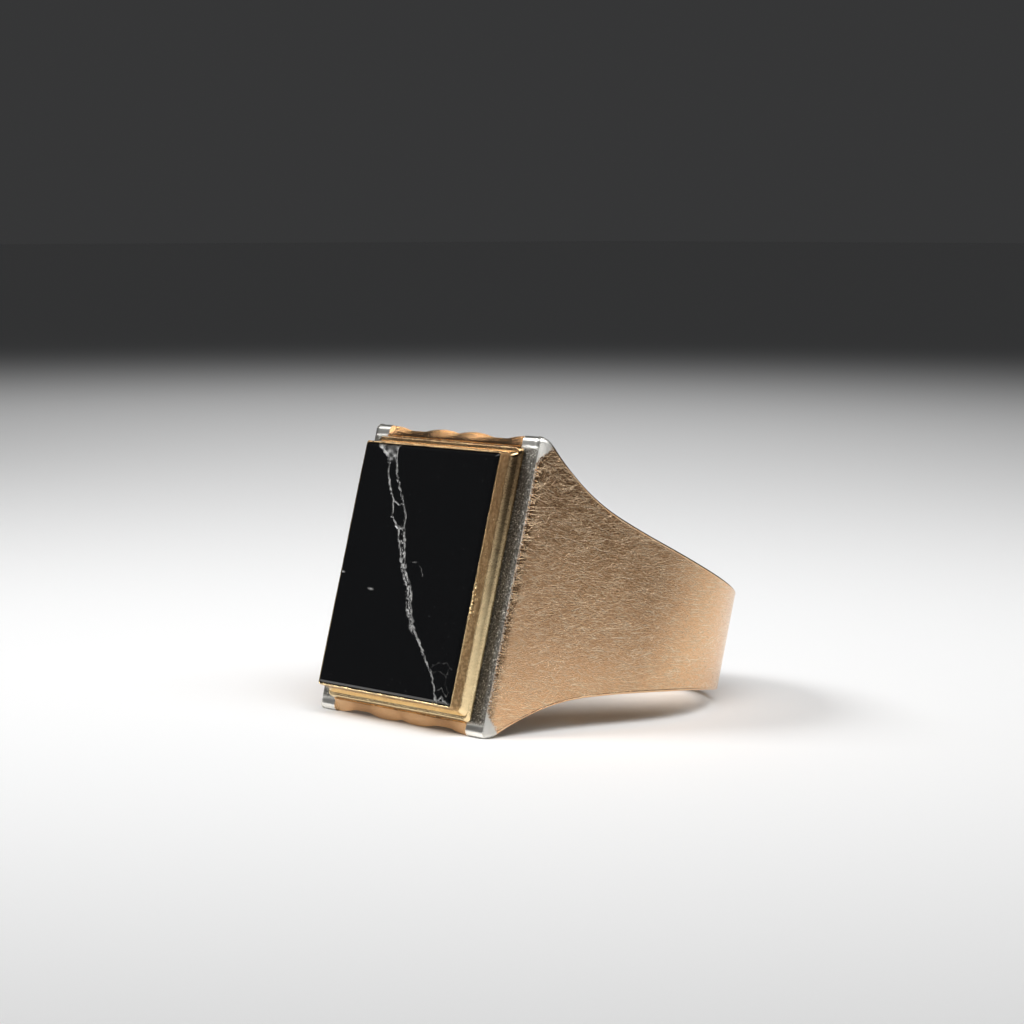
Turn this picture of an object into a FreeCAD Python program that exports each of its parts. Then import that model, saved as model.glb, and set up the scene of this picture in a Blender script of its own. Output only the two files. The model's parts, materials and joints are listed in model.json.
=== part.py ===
import FreeCAD, Part

import math
import os

import Sketcher

# Men's signet ring: a U-shaped shank of laminated metal (rose gold outside, white metal core,
# gold finger lining) carries a flat rectangular head. The head is a base plate with a bezel
# wall that holds a cracked onyx tablet on cement, and a scalloped gallery sheet closes each end.
#
# Ring frame: the finger axis is Z through the origin, X runs across the head and the head faces
# -Y. "Rise" is a distance in front of the finger axis, so a rise of 12 lies at Y = -12.
# Every piece is drawn in that frame, then the one rest placement lays the ring on its side.

DIMENSIONS = (
    ("bore_diameter", 19.5, "finger hole"),
    ("back_thickness", 1.3, "shank wall at the back"),
    ("skin_thickness", 0.25, "rose gold layer outside"),
    ("lining_thickness", 0.25, "gold layer in the finger hole"),
    ("head_rise", 12.57, "finger axis to the front faces of the shoulders"),
    ("side_lean", 14.7, "degrees that each side leans inwards towards the head"),
    ("corner_round", 0.8, "round between a shoulder's front face and its side"),
    ("shoulder_gap", 12.86, "between the inner faces of the shoulders"),
    ("head_length", 19.2, "shoulders along the finger"),
    ("tip_round", 1.5, "round at each end of a shoulder, seen from the side"),
    ("neck_rise", 5.96, "rise of the point where the flare turns into the taper"),
    ("neck_width", 11.5, "shank along the finger at that point"),
    ("back_width", 6.4, "shank along the finger at the back"),
    ("solder_thickness", 0.06, "solder between shoulder and base plate"),
    ("solder_setback", 0.12, "solder's edge inside the plate's edge"),
    ("plate_width", 13.74, "base plate across the head"),
    ("plate_length", 17.5, "base plate along the finger"),
    ("plate_thickness", 0.38, "base plate"),
    ("window_margin", 1.9, "plate's edge to its open window"),
    ("stone_width", 12.8, "onyx tablet across the head"),
    ("stone_length", 16.0, "onyx tablet along the finger"),
    ("stone_thickness", 1.25, "onyx tablet"),
    ("stone_bevel", 0.2, "bevel around the tablet's front"),
    ("stone_play", 0.02, "gap between tablet and bezel wall"),
    ("stone_stand", 0.12, "tablet's front above the wall's rim"),
    ("cement_thickness", 0.1, "cement under the tablet"),
    ("wall_thickness", 0.16, "bezel wall above its foot"),
    ("rim_thickness", 0.1, "bezel wall at its rim"),
    ("foot_rise", 0.5, "height of the wall's spread foot"),
    ("ledge_side", 0.05, "plate left bare beside the foot"),
    ("ledge_end", 0.3, "plate left bare at the ends of the foot"),
    ("gallery_root", 8.7, "gallery sheet's outer face at the plate, from the middle"),
    ("gallery_tip", 9.46, "scallops' reach from the middle"),
    ("gallery_depth", 0.55, "how far back the sheet flares"),
    ("gallery_sheet", 0.5, "sheet measured along the finger"),
    ("scallop_radius", 2.3, "round of each scallop"),
    ("scallop_height", 0.28, "scallop above the hollows between"),
    ("scallop_offset", 1.45, "centre of each middle scallop from the middle"),
    ("crack_top", -3.4, "crack across the tablet, at the upper edge"),
    ("crack_bend", -0.1, "crack at the middle of the tablet"),
    ("crack_bottom", 5.2, "crack at the lower edge"),
    ("crack_bend_height", 0.0, "height of the crack's bend on the tablet"),
)

doc = FreeCAD.newDocument("SignetRing")
dims = doc.addObject("Spreadsheet::Sheet", "dims")
for row, (alias, number, meaning) in enumerate(DIMENSIONS, start=1):
    dims.set(f"A{row}", meaning)
    dims.set(f"B{row}", str(number))
    dims.setAlias(f"B{row}", alias)
doc.recompute()

OUTER_RADIUS = "(dims.bore_diameter / 2 + dims.back_thickness)"
BORE_RADIUS = "(dims.bore_diameter / 2)"
HALF_GAP = "(dims.shoulder_gap / 2)"
PLATE_BACK = "(dims.head_rise + dims.solder_thickness)"
PLATE_FRONT = f"({PLATE_BACK} + dims.plate_thickness)"
STONE_BACK = f"({PLATE_FRONT} + dims.cement_thickness)"
STONE_FRONT = f"({STONE_BACK} + dims.stone_thickness)"
RIM_RISE = f"({STONE_FRONT} - dims.stone_stand)"
OVERSHOOT = 1.0  # how far a cutting shape runs past what it cuts
SAME_PLACE = 1e-4  # points nearer than this count as one


def value(expression):
    """The number that an expression on the dimension sheet comes to."""
    return float(dims.evalExpression(expression.replace("dims.", "")))


class Outline:
    """A sketch on one of a body's origin planes, its corners given as sheet expressions."""

    def __init__(self, body, name, plane_role, offset="0"):
        plane = next(item for item in body.Origin.OriginFeatures if item.Role == plane_role)
        self.sketch = body.newObject("Sketcher::SketchObject", name)
        self.sketch.AttachmentSupport = (plane, [""])
        self.sketch.MapMode = "FlatFace"
        if offset != "0":
            self.sketch.setExpression("AttachmentOffset.Base.z", offset)

    def bind(self, kind, geometry, position, expression):
        """Hold one coordinate of a point at an expression, or on an axis when it is 0."""
        if expression == "0":
            axis = -2 if kind == "DistanceX" else -1
            self.sketch.addConstraint(Sketcher.Constraint("PointOnObject", geometry, position, axis))
            return
        number = value(expression)
        index = self.sketch.addConstraint(Sketcher.Constraint(kind, geometry, position, number))
        self.sketch.setExpression(f"Constraints[{index}]", expression)

    def pin(self, geometry, position, corner):
        self.bind("DistanceX", geometry, position, corner[0])
        self.bind("DistanceY", geometry, position, corner[1])

    def loop(self, corners, centres=None):
        """Close a loop through the corners. centres maps a corner's number to the centre of the
        arc, shorter than a half turn, that leaves it; every other side is straight."""
        centres = centres or {}
        points = [FreeCAD.Vector(value(x), value(y), 0) for x, y in corners]
        sides = []
        for number, start in enumerate(points):
            end = points[(number + 1) % len(points)]
            if number not in centres:
                geometry = self.sketch.addGeometry(Part.LineSegment(start, end), False)
                sides.append((geometry, 1, 2))
                continue
            centre = FreeCAD.Vector(*(value(part) for part in centres[number]), 0)
            geometry, start_end, end_end = self.add_arc(start, end, centre)
            chord = end - start
            if abs(chord.x) > abs(chord.y):
                self.bind("DistanceY", geometry, 3, centres[number][1])
            else:
                self.bind("DistanceX", geometry, 3, centres[number][0])
            sides.append((geometry, start_end, end_end))
        for number, (geometry, start_end, end_end) in enumerate(sides):
            following = sides[(number + 1) % len(sides)]
            self.sketch.addConstraint(
                Sketcher.Constraint("Coincident", geometry, end_end, following[0], following[1]))
            self.pin(geometry, start_end, corners[number])

    def add_arc(self, start, end, centre):
        """Add the shorter arc and say which of its ends is the start."""
        radius = (start - centre).Length
        circle = Part.Circle(centre, FreeCAD.Vector(0, 0, 1), radius)
        start_angle = math.atan2(start.y - centre.y, start.x - centre.x)
        end_angle = math.atan2(end.y - centre.y, end.x - centre.x)
        turns_left = (start - centre).cross(end - centre).z > 0
        first, last = (start_angle, end_angle) if turns_left else (end_angle, start_angle)
        geometry = self.sketch.addGeometry(Part.ArcOfCircle(circle, first, last), False)
        return (geometry, 1, 2) if turns_left else (geometry, 2, 1)

    def rectangle(self, half_width, half_length):
        self.loop([(f"-{half_width}", f"-{half_length}"), (half_width, f"-{half_length}"),
                   (half_width, half_length), (f"-{half_width}", half_length)])


def new_body(label):
    body = doc.addObject("PartDesign::Body", label)
    body.Label = label
    return body


def pad(body, outline, length, symmetric=False):
    feature = body.newObject("PartDesign::Pad", f"{outline.sketch.Name}Pad")
    feature.Profile = outline.sketch
    feature.setExpression("Length", length)
    feature.Midplane = symmetric
    doc.recompute()
    return feature


def pocket(body, outline):
    """Cut the outline right through the body, both ways."""
    before = body.Shape.Volume
    feature = body.newObject("PartDesign::Pocket", f"{outline.sketch.Name}Pocket")
    feature.Profile = outline.sketch
    feature.Type = "ThroughAll"
    feature.Midplane = True
    doc.recompute()
    if not feature.Shape.Volume < before:
        raise RuntimeError(f"{feature.Name} removes nothing")
    return feature


def loft(body, lower, upper):
    feature = body.newObject("PartDesign::AdditiveLoft", f"{lower.sketch.Name}Loft")
    feature.Profile = lower.sketch
    feature.Sections = [upper.sketch]
    feature.Ruled = True
    doc.recompute()
    return feature


def boolean(kind, label, base, tool):
    result = doc.addObject(kind, label)
    result.Label = label
    result.Base = base
    result.Tool = tool
    doc.recompute()
    return result


def common(label, first, second):
    result = doc.addObject("Part::MultiCommon", label)
    result.Label = label
    result.Shapes = [first, second]
    doc.recompute()
    return result


def edges_where(feature, test):
    """Names of the feature's edges whose two ends both pass the test."""
    return [f"Edge{number}" for number, edge in enumerate(feature.Shape.Edges, start=1)
            if len(edge.Vertexes) == 2 and all(test(vertex.Point) for vertex in edge.Vertexes)]


# ---- shank -----------------------------------------------------------------------------------

def side_x(radius, rise):
    """X, at a rise, of the straight side that runs tangent to a circle about the finger axis."""
    return f"(({radius} - {rise} * sin(dims.side_lean)) / cos(dims.side_lean))"


def mirrored(corner):
    return (f"-{corner[0]}", corner[1])


def side_and_back(radius, rise):
    """Corners of a U outline from its front right corner round the back to its front left."""
    corner = (side_x(radius, rise), f"-{rise}")
    tangent = (f"({radius} * cos(dims.side_lean))", f"-({radius} * sin(dims.side_lean))")
    return [corner, tangent, ("0", radius), mirrored(tangent), mirrored(corner)]


def shank_blank():
    """The whole shank before it is divided into its layers."""
    body = new_body("shank_blank")
    bore_rise = f"sqrt({BORE_RADIUS} ^ 2 - {HALF_GAP} ^ 2)"
    inner_front = (HALF_GAP, "-dims.head_rise")
    inner_back = (HALF_GAP, f"-{bore_rise}")
    plan = Outline(body, "ShankPlan", "XY_Plane")
    corners = [inner_front, *side_and_back(OUTER_RADIUS, "dims.head_rise"), mirrored(inner_front),
               mirrored(inner_back), ("0", BORE_RADIUS), inner_back]
    axis = ("0", "0")
    plan.loop(corners, {2: axis, 3: axis, 7: axis, 8: axis})
    block = pad(body, plan, "dims.head_length", symmetric=True)

    corner_x, front_y = value(side_x(OUTER_RADIUS, "dims.head_rise")), -value("dims.head_rise")
    rounded = body.newObject("PartDesign::Fillet", "ShoulderRound")
    rounded.Base = (block, edges_where(
        block,
        lambda p: abs(abs(p.x) - corner_x) < SAME_PLACE and abs(p.y - front_y) < SAME_PLACE))
    rounded.setExpression("Radius", "dims.corner_round")
    doc.recompute()

    for name, sign in (("UpperFlare", ""), ("LowerFlare", "-")):
        pocket(body, flare(body, name, sign))
    return body


def flare(body, name, sign):
    """Side view of what is cut away beyond one edge of the shank: a convex round at the
    shoulder's tip, a hollow flare to the neck and a long taper that is level at the back."""
    outline = Outline(body, name, "YZ_Plane")
    sketch = outline.sketch
    facing = -1.0 if sign else 1.0
    half_head, half_back = value("dims.head_length / 2"), value("dims.back_width / 2")
    front, back = -value("dims.head_rise"), value(OUTER_RADIUS)
    tip_radius = value("dims.tip_round")
    neck = FreeCAD.Vector(-value("dims.neck_rise"), value("dims.neck_width / 2"), 0)

    taper_radius = ((back - neck.x) ** 2 + (neck.y - half_back) ** 2) / (2 * (neck.y - half_back))
    taper_centre = FreeCAD.Vector(back, half_back + taper_radius, 0)
    tip_centre = FreeCAD.Vector(front, half_head - tip_radius, 0)
    inward = (taper_centre - neck).normalize()
    reach = neck - tip_centre
    flare_radius = ((reach.dot(reach) - tip_radius ** 2)
                    / (2 * (tip_radius - reach.dot(inward))))
    flare_centre = neck + inward * flare_radius
    meeting = tip_centre + (flare_centre - tip_centre).normalize() * tip_radius

    def turned(point):
        return FreeCAD.Vector(point.x, point.y * facing, 0)

    start = FreeCAD.Vector(front, half_head, 0)
    finish = FreeCAD.Vector(back, half_back, 0)
    tip = outline.add_arc(turned(start), turned(meeting), turned(tip_centre))
    hollow = outline.add_arc(turned(meeting), turned(neck), turned(flare_centre))
    taper = outline.add_arc(turned(neck), turned(finish), turned(taper_centre))
    far, clear = back + OVERSHOOT, half_head + OVERSHOOT
    outer = [finish, FreeCAD.Vector(far, half_back, 0), FreeCAD.Vector(far, clear, 0),
             FreeCAD.Vector(front, clear, 0), start]
    lines = [sketch.addGeometry(Part.LineSegment(turned(a), turned(b)), False)
             for a, b in zip(outer, outer[1:])]

    def join(kind, first, first_end, second, second_end):
        sketch.addConstraint(Sketcher.Constraint(kind, first, first_end, second, second_end))

    join("Tangent", tip[0], tip[2], hollow[0], hollow[1])
    join("Tangent", hollow[0], hollow[2], taper[0], taper[1])
    join("Coincident", taper[0], taper[2], lines[0], 1)
    for first, second in zip(lines, lines[1:]):
        join("Coincident", first, 2, second, 1)
    join("Coincident", lines[-1], 2, tip[0], tip[1])

    far_y = f"({OUTER_RADIUS} + {OVERSHOOT})"
    clear_z = f"{sign}(dims.head_length / 2 + {OVERSHOOT})"
    outline.pin(tip[0], 3, ("-dims.head_rise", f"{sign}(dims.head_length / 2 - dims.tip_round)"))
    outline.pin(tip[0], tip[1], ("-dims.head_rise", f"{sign}(dims.head_length / 2)"))
    outline.pin(hollow[0], hollow[2], ("-dims.neck_rise", f"{sign}(dims.neck_width / 2)"))
    outline.pin(taper[0], taper[2], (OUTER_RADIUS, f"{sign}(dims.back_width / 2)"))
    outline.bind("DistanceX", taper[0], 3, OUTER_RADIUS)
    outline.pin(lines[1], 1, (far_y, f"{sign}(dims.back_width / 2)"))
    outline.pin(lines[2], 1, (far_y, clear_z))
    outline.pin(lines[3], 1, ("-dims.head_rise", clear_z))
    doc.recompute()
    return outline


def shank_pieces():
    """Divide the blank into outer skin, core and finger lining, which meet face to face."""
    blank = shank_blank()
    inside = new_body("inside_of_skin")
    outline = Outline(inside, "InsideOfSkin", "XY_Plane")
    radius = f"({OUTER_RADIUS} - dims.skin_thickness)"
    axis = ("0", "0")
    outline.loop(side_and_back(radius, f"(dims.head_rise + {OVERSHOOT})"), {1: axis, 2: axis})
    pad(inside, outline, f"dims.head_length + {2 * OVERSHOOT}", symmetric=True)

    sleeve = doc.addObject("Part::Cylinder", "sleeve")
    sleeve.setExpression("Radius", f"{BORE_RADIUS} + dims.lining_thickness")
    sleeve.setExpression("Height", f"dims.head_length + {2 * OVERSHOOT}")
    sleeve.setExpression("Placement.Base.z", f"-(dims.head_length / 2 + {OVERSHOOT})")
    doc.recompute()

    skin = boolean("Part::Cut", "shank_outer_skin", blank, inside)
    body_of_shank = common("inside_of_shank", blank, inside)
    core = boolean("Part::Cut", "shank_core", body_of_shank, sleeve)
    lining = common("finger_lining", body_of_shank, sleeve)
    return [core, skin, lining]


# ---- head ------------------------------------------------------------------------------------

def base_plate():
    body = new_body("base_plate")
    outline = Outline(body, "PlateOutline", "XZ_Plane", PLATE_BACK)
    outline.rectangle("(dims.plate_width / 2)", "(dims.plate_length / 2)")
    pad(body, outline, "dims.plate_thickness")
    window = Outline(body, "PlateWindow", "XZ_Plane", PLATE_BACK)
    window.rectangle("(dims.plate_width / 2 - dims.window_margin)",
                     "(dims.plate_length / 2 - dims.window_margin)")
    pocket(body, window)
    return body


def stone_and_more(extra):
    """Half sizes of the tablet grown by an extra on every side."""
    return f"(dims.stone_width / 2 + {extra})", f"(dims.stone_length / 2 + {extra})"


def bezel_wall():
    """A thin upright wall on a spread foot, open inside for the tablet."""
    body = new_body("bezel_wall")
    foot = Outline(body, "WallFoot", "XZ_Plane", PLATE_FRONT)
    foot.rectangle("(dims.plate_width / 2 - dims.ledge_side)",
                   "(dims.plate_length / 2 - dims.ledge_end)")
    ankle_rise = f"({PLATE_FRONT} + dims.foot_rise)"
    ankle = Outline(body, "WallAnkle", "XZ_Plane", ankle_rise)
    ankle.rectangle(*stone_and_more("dims.stone_play + dims.wall_thickness"))
    loft(body, foot, ankle)
    wall = Outline(body, "WallUpright", "XZ_Plane", ankle_rise)
    wall.rectangle(*stone_and_more("dims.stone_play + dims.wall_thickness"))
    rim = Outline(body, "WallRim", "XZ_Plane", RIM_RISE)
    rim.rectangle(*stone_and_more("dims.stone_play + dims.rim_thickness"))
    loft(body, wall, rim)
    cavity = Outline(body, "WallCavity", "XZ_Plane", PLATE_FRONT)
    cavity.rectangle(*stone_and_more("dims.stone_play"))
    pocket(body, cavity)
    return body


def setting_cement():
    body = new_body("setting_cement")
    outline = Outline(body, "CementOutline", "XZ_Plane", PLATE_FRONT)
    outline.rectangle(*stone_and_more("0"))
    pad(body, outline, "dims.cement_thickness")
    return body


def onyx_pieces():
    """The bevelled tablet, broken in two along a crack that runs from edge to edge."""
    tablet = new_body("tablet")
    outline = Outline(tablet, "TabletOutline", "XZ_Plane", STONE_BACK)
    outline.rectangle(*stone_and_more("0"))
    slab = pad(tablet, outline, "dims.stone_thickness")
    front_y = -value(STONE_FRONT)
    bevel = tablet.newObject("PartDesign::Chamfer", "TabletBevel")
    bevel.Base = (slab, edges_where(slab, lambda p: abs(p.y - front_y) < SAME_PLACE))
    bevel.setExpression("Size", "dims.stone_bevel")
    doc.recompute()

    beside = new_body("beside_crack")
    far = f"(dims.stone_width / 2 + {OVERSHOOT})"
    beyond = f"(dims.stone_length / 2 + {OVERSHOOT})"
    region = Outline(beside, "BesideCrack", "XZ_Plane", f"({STONE_BACK} - {OVERSHOOT})")
    region.loop([(f"-{far}", f"-{beyond}"), ("dims.crack_bottom", f"-{beyond}"),
                 ("dims.crack_bottom", "-(dims.stone_length / 2)"),
                 ("dims.crack_bend", "dims.crack_bend_height"),
                 ("dims.crack_top", "(dims.stone_length / 2)"),
                 ("dims.crack_top", beyond), (f"-{far}", beyond)])
    pad(beside, region, f"dims.stone_thickness + {2 * OVERSHOOT}")
    return [common("onyx_left", tablet, beside), boolean("Part::Cut", "onyx_right", tablet, beside)]


def gallery(label, sign):
    """A thin sheet that flares from the base plate to a scalloped free edge, between the
    shoulders."""
    body = new_body(label)
    tip_rise = f"({PLATE_BACK} - dims.gallery_depth)"
    section = Outline(body, f"{label}Section", "YZ_Plane")
    section.loop([(f"-{PLATE_BACK}", f"{sign}(dims.gallery_root - dims.gallery_sheet)"),
                  (f"-{PLATE_BACK}", f"{sign}dims.gallery_root"),
                  (f"-{tip_rise}", f"{sign}dims.gallery_tip"),
                  (f"-{tip_rise}", f"{sign}(dims.gallery_tip - dims.gallery_sheet)")])
    pad(body, section, "dims.shoulder_gap", symmetric=True)

    hollow_z = f"{sign}(dims.gallery_tip - dims.scallop_height)"
    centre_z = f"{sign}(dims.gallery_tip - dims.scallop_radius)"
    beyond_z = f"{sign}(dims.gallery_tip + {OVERSHOOT})"
    half_chord = ("sqrt(dims.scallop_radius ^ 2"
                  " - (dims.scallop_radius - dims.scallop_height) ^ 2)")
    centre = "dims.scallop_offset"
    near, away = f"({centre} - {half_chord})", f"({centre} + {half_chord})"
    last = f"({HALF_GAP} - {half_chord})"
    half = [(near, hollow_z), (centre, f"{sign}dims.gallery_tip"), (away, hollow_z),
            (last, hollow_z), (HALF_GAP, f"{sign}dims.gallery_tip")]
    corners = [mirrored(corner) for corner in reversed(half)] + half
    corners += [(HALF_GAP, beyond_z), (f"-{HALF_GAP}", beyond_z)]
    centres = {0: f"-{HALF_GAP}", 2: f"-{centre}", 3: f"-{centre}",
               5: centre, 6: centre, 8: HALF_GAP}
    edge = Outline(body, f"{label}Scallops", "XZ_Plane", tip_rise)
    edge.loop(corners, {number: (x, centre_z) for number, x in centres.items()})
    pocket(body, edge)
    return body


def solder_seam(label, sign):
    body = new_body(label)
    outline = Outline(body, f"{label}Outline", "XZ_Plane", "dims.head_rise")
    inner, outer = f"{sign}{HALF_GAP}", f"{sign}(dims.plate_width / 2 - dims.solder_setback)"
    half_length = "(dims.plate_length / 2 - dims.solder_setback)"
    outline.loop([(inner, f"-{half_length}"), (outer, f"-{half_length}"),
                  (outer, half_length), (inner, half_length)])
    pad(body, outline, "dims.solder_thickness")
    return body


# ---- the ring at rest ------------------------------------------------------------------------

def rest_rotation():
    """The ring lies on its side, on the rounded lower tips of both shoulders and on the lower
    edge of the back, so its head leans back."""
    drop = value("dims.head_length / 2 - dims.tip_round - dims.back_width / 2")
    span = value("dims.head_rise") + value(OUTER_RADIUS)
    tilt = math.atan2(drop, span) + math.asin(value("dims.tip_round") / math.hypot(drop, span))
    return FreeCAD.Rotation(FreeCAD.Vector(1, 0, 0), -math.degrees(tilt))


def place_at_rest(nodes):
    """Turn every piece to the rest pose, with the origin under the middle of the ring's box."""
    rotation = rest_rotation()
    box = FreeCAD.BoundBox()
    for node in nodes:
        turned = node.Shape.copy()
        turned.Placement = FreeCAD.Placement(FreeCAD.Vector(), rotation).multiply(node.Placement)
        box.add(turned.optimalBoundingBox())
    shift = FreeCAD.Vector(-box.Center.x, -box.Center.y, -box.ZMin)
    for node in nodes:
        node.Placement = FreeCAD.Placement(shift, rotation)
    doc.recompute()


def check(nodes):
    for item in doc.Objects:
        if "Invalid" in item.State or "Error" in item.State:
            raise RuntimeError(f"{item.Label} failed: {item.State}")
    for node in nodes:
        if node.Shape.isNull() or not node.Shape.isValid() or not node.Shape.Solids:
            raise RuntimeError(f"{node.Label} has no valid solid")


def main():
    nodes = shank_pieces()
    nodes += [base_plate(), bezel_wall(), setting_cement(), *onyx_pieces()]
    nodes += [gallery("upper_gallery", ""), gallery("lower_gallery", "-")]
    nodes += [solder_seam("solder_right", ""), solder_seam("solder_left", "-")]
    place_at_rest(nodes)
    check(nodes)
    os.makedirs("parts", exist_ok=True)
    for node in nodes:
        node.Shape.exportStep(f"parts/{node.Label}.step")
        print(f"{node.Label}: {node.Shape.Volume:.2f} mm3, {len(node.Shape.Solids)} solid")


main()
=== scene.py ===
"""A worn signet ring with a cracked onyx tablet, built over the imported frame.

Every piece is drawn in the ring's own space, in millimetres: X runs across the head, the head
faces -Y and the finger axis is Z. "Rise" is a distance in front of the finger axis, so a rise of
12 lies at Y = -12. RingSpace then lays the pieces in the row's frame, in metres.
"""

from __future__ import annotations

import json
import logging
import math
from collections.abc import Callable, Sequence
from dataclasses import dataclass
from enum import Enum
from functools import reduce

import bmesh
import bpy
import numpy as np
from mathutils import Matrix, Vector

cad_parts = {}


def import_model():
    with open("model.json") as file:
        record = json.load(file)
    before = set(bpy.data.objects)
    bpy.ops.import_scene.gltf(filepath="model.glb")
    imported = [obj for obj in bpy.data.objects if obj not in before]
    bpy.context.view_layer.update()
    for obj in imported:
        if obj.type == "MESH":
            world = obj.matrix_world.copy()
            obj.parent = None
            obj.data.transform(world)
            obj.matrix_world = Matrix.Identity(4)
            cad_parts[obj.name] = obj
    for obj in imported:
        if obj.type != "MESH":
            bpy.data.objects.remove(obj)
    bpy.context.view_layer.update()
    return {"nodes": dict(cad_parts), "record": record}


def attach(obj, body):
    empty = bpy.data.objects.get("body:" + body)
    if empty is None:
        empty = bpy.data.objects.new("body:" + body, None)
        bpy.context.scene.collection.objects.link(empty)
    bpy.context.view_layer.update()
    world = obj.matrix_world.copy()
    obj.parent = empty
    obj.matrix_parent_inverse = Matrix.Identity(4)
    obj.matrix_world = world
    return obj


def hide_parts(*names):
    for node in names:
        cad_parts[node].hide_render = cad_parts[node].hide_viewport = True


LOG = logging.getLogger("signet_ring")
MM = 0.001

Colour = tuple[float, float, float, float]
Pair = tuple[float, float]


class End(Enum):
    """The two ends of the head along the finger."""

    UPPER = 1.0
    LOWER = -1.0


class Side(Enum):
    """The two sides of the head across the finger."""

    RIGHT = 1.0
    LEFT = -1.0


# ---- space, noise and plain meshes ----------------------------------------------------------


@dataclass(frozen=True)
class RingSpace:
    """Where the ring's own space lies in the row's frame."""

    origin: np.ndarray
    axes: np.ndarray

    @classmethod
    def from_record(cls, record: dict) -> RingSpace:
        """Read the space from the finger bore.

        Args:
            record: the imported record.

        Returns:
            The space whose Z axis is the bore's axis.
        """
        bore = next(mount for mount in record["mounts"] if mount["name"] == "finger_bore")
        along = np.array(bore["axis"], float)
        along /= np.linalg.norm(along)
        across = np.array((1.0, 0.0, 0.0))
        axes = np.array((across, np.cross(along, across), along))
        return cls(np.array(bore["pos_m"], float), axes)

    @property
    def tilt(self) -> float:
        """The angle by which the ring leans back, in radians."""
        return math.atan2(self.axes[2][1], self.axes[2][2])

    def to_row(self, points: np.ndarray) -> np.ndarray:
        """Turn ring points in millimetres into row points in metres."""
        return self.origin + MM * np.asarray(points) @ self.axes

    def shift(self) -> tuple[float, float, float]:
        """The row's origin in ring millimetres."""
        return tuple(float(part) for part in -(self.axes @ self.origin) / MM)


class Grain:
    """Smooth repeatable noise in a plane, between -1 and 1."""

    CELLS = 64

    def __init__(self, seed: int) -> None:
        """Fill the table of values from a seed."""
        self.table = np.random.default_rng(seed).uniform(-1, 1, (self.CELLS, self.CELLS))

    def at(self, first: np.ndarray, second: np.ndarray, size: float) -> np.ndarray:
        """Sample the noise.

        Args:
            first: first coordinates, in millimetres.
            second: second coordinates, in millimetres.
            size: how wide one cell of the noise is, in millimetres.

        Returns:
            One value for each pair of coordinates.
        """
        first, second = np.broadcast_arrays(np.asarray(first) / size, np.asarray(second) / size)
        row, column = np.floor(first).astype(int), np.floor(second).astype(int)
        along, up = first - row, second - column
        along, up = along * along * (3 - 2 * along), up * up * (3 - 2 * up)

        def corner(add_row: int, add_column: int) -> np.ndarray:
            return self.table[(row + add_row) % self.CELLS, (column + add_column) % self.CELLS]

        near = corner(0, 0) * (1 - along) + corner(1, 0) * along
        far = corner(0, 1) * (1 - along) + corner(1, 1) * along
        return near * (1 - up) + far * up


def ease(low: float, high: float, number: np.ndarray) -> np.ndarray:
    """Rise smoothly from 0 at low to 1 at high."""
    part = np.clip((np.asarray(number) - low) / (high - low), 0, 1)
    return part * part * (3 - 2 * part)


@dataclass
class Maker:
    """Turns points and faces into finished pieces that ride on the ring."""

    space: RingSpace
    sharp_angle: float = math.radians(38)
    same_place: float = 2e-7

    def piece(self, name: str, points: np.ndarray, faces: Sequence[Sequence[int]],
              marks: dict[str, np.ndarray] | None = None) -> bpy.types.Object:
        """Make an object from ring points.

        Args:
            name: the piece's name.
            points: ring points in millimetres.
            faces: vertex numbers of each face.
            marks: values to keep on the vertices, numbers or triples, by attribute name.

        Returns:
            The object, closed up, with its faces outwards.
        """
        mesh = bpy.data.meshes.new(name)
        mesh.from_pydata(self.space.to_row(points).tolist(), [], [list(face) for face in faces])
        for title, values in (marks or {}).items():
            kind, field = ("FLOAT", "value") if values.ndim == 1 else ("FLOAT_VECTOR", "vector")
            mesh.attributes.new(title, kind, "POINT").data.foreach_set(
                field, values.astype(np.float32).ravel())
        made = bpy.data.objects.new(name, mesh)
        bpy.context.scene.collection.objects.link(made)
        self.close(made)
        return made

    def close(self, made: bpy.types.Object) -> None:
        """Merge doubles, turn the faces outwards and mark the sharp edges."""
        work = bmesh.new()
        work.from_mesh(made.data)
        bmesh.ops.remove_doubles(work, verts=work.verts, dist=self.same_place)
        bmesh.ops.dissolve_degenerate(work, edges=work.edges, dist=self.same_place)
        bmesh.ops.recalc_face_normals(work, faces=work.faces)
        for face in work.faces:
            face.smooth = True
        for edge in work.edges:
            edge.smooth = not (edge.is_manifold and edge.calc_face_angle(0.0) > self.sharp_angle)
        open_edges = sum(1 for edge in work.edges if not edge.is_manifold)
        work.to_mesh(made.data)
        work.free()
        if open_edges:
            LOG.warning("%s has %d open edges", made.name, open_edges)

    def settle(self, made: bpy.types.Object, slot: str, material: bpy.types.Material,
               nodes: Sequence[str] = ()) -> bpy.types.Object:
        """Dress a piece, let it ride and hide the CAD nodes that it replaces.

        Args:
            made: the finished object.
            slot: not used.
            material: what it is made of.
            nodes: CAD nodes that it replaces.

        Returns:
            The same object.
        """
        made.data.materials.clear()
        made.data.materials.append(material)
        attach(made, "root")
        if nodes:
            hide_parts(*nodes)
        LOG.info("%s: %d faces", made.name, len(made.data.polygons))
        return made


def band_faces(rows: int, columns: int, wrap_columns: bool,
               wrap_rows: bool = False) -> list[tuple]:
    """Faces of a grid of points that is numbered row by row.

    Args:
        rows: how many rows.
        columns: how many points in a row.
        wrap_columns: whether the last point of a row joins its first.
        wrap_rows: whether the last row joins the first.

    Returns:
        The four vertex numbers of each face.
    """
    faces = []
    for row in range(rows if wrap_rows else rows - 1):
        after = (row + 1) % rows
        for column in range(columns if wrap_columns else columns - 1):
            beside = (column + 1) % columns
            faces.append((row * columns + column, row * columns + beside,
                          after * columns + beside, after * columns + column))
    return faces


# ---- node trees -----------------------------------------------------------------------------


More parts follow.
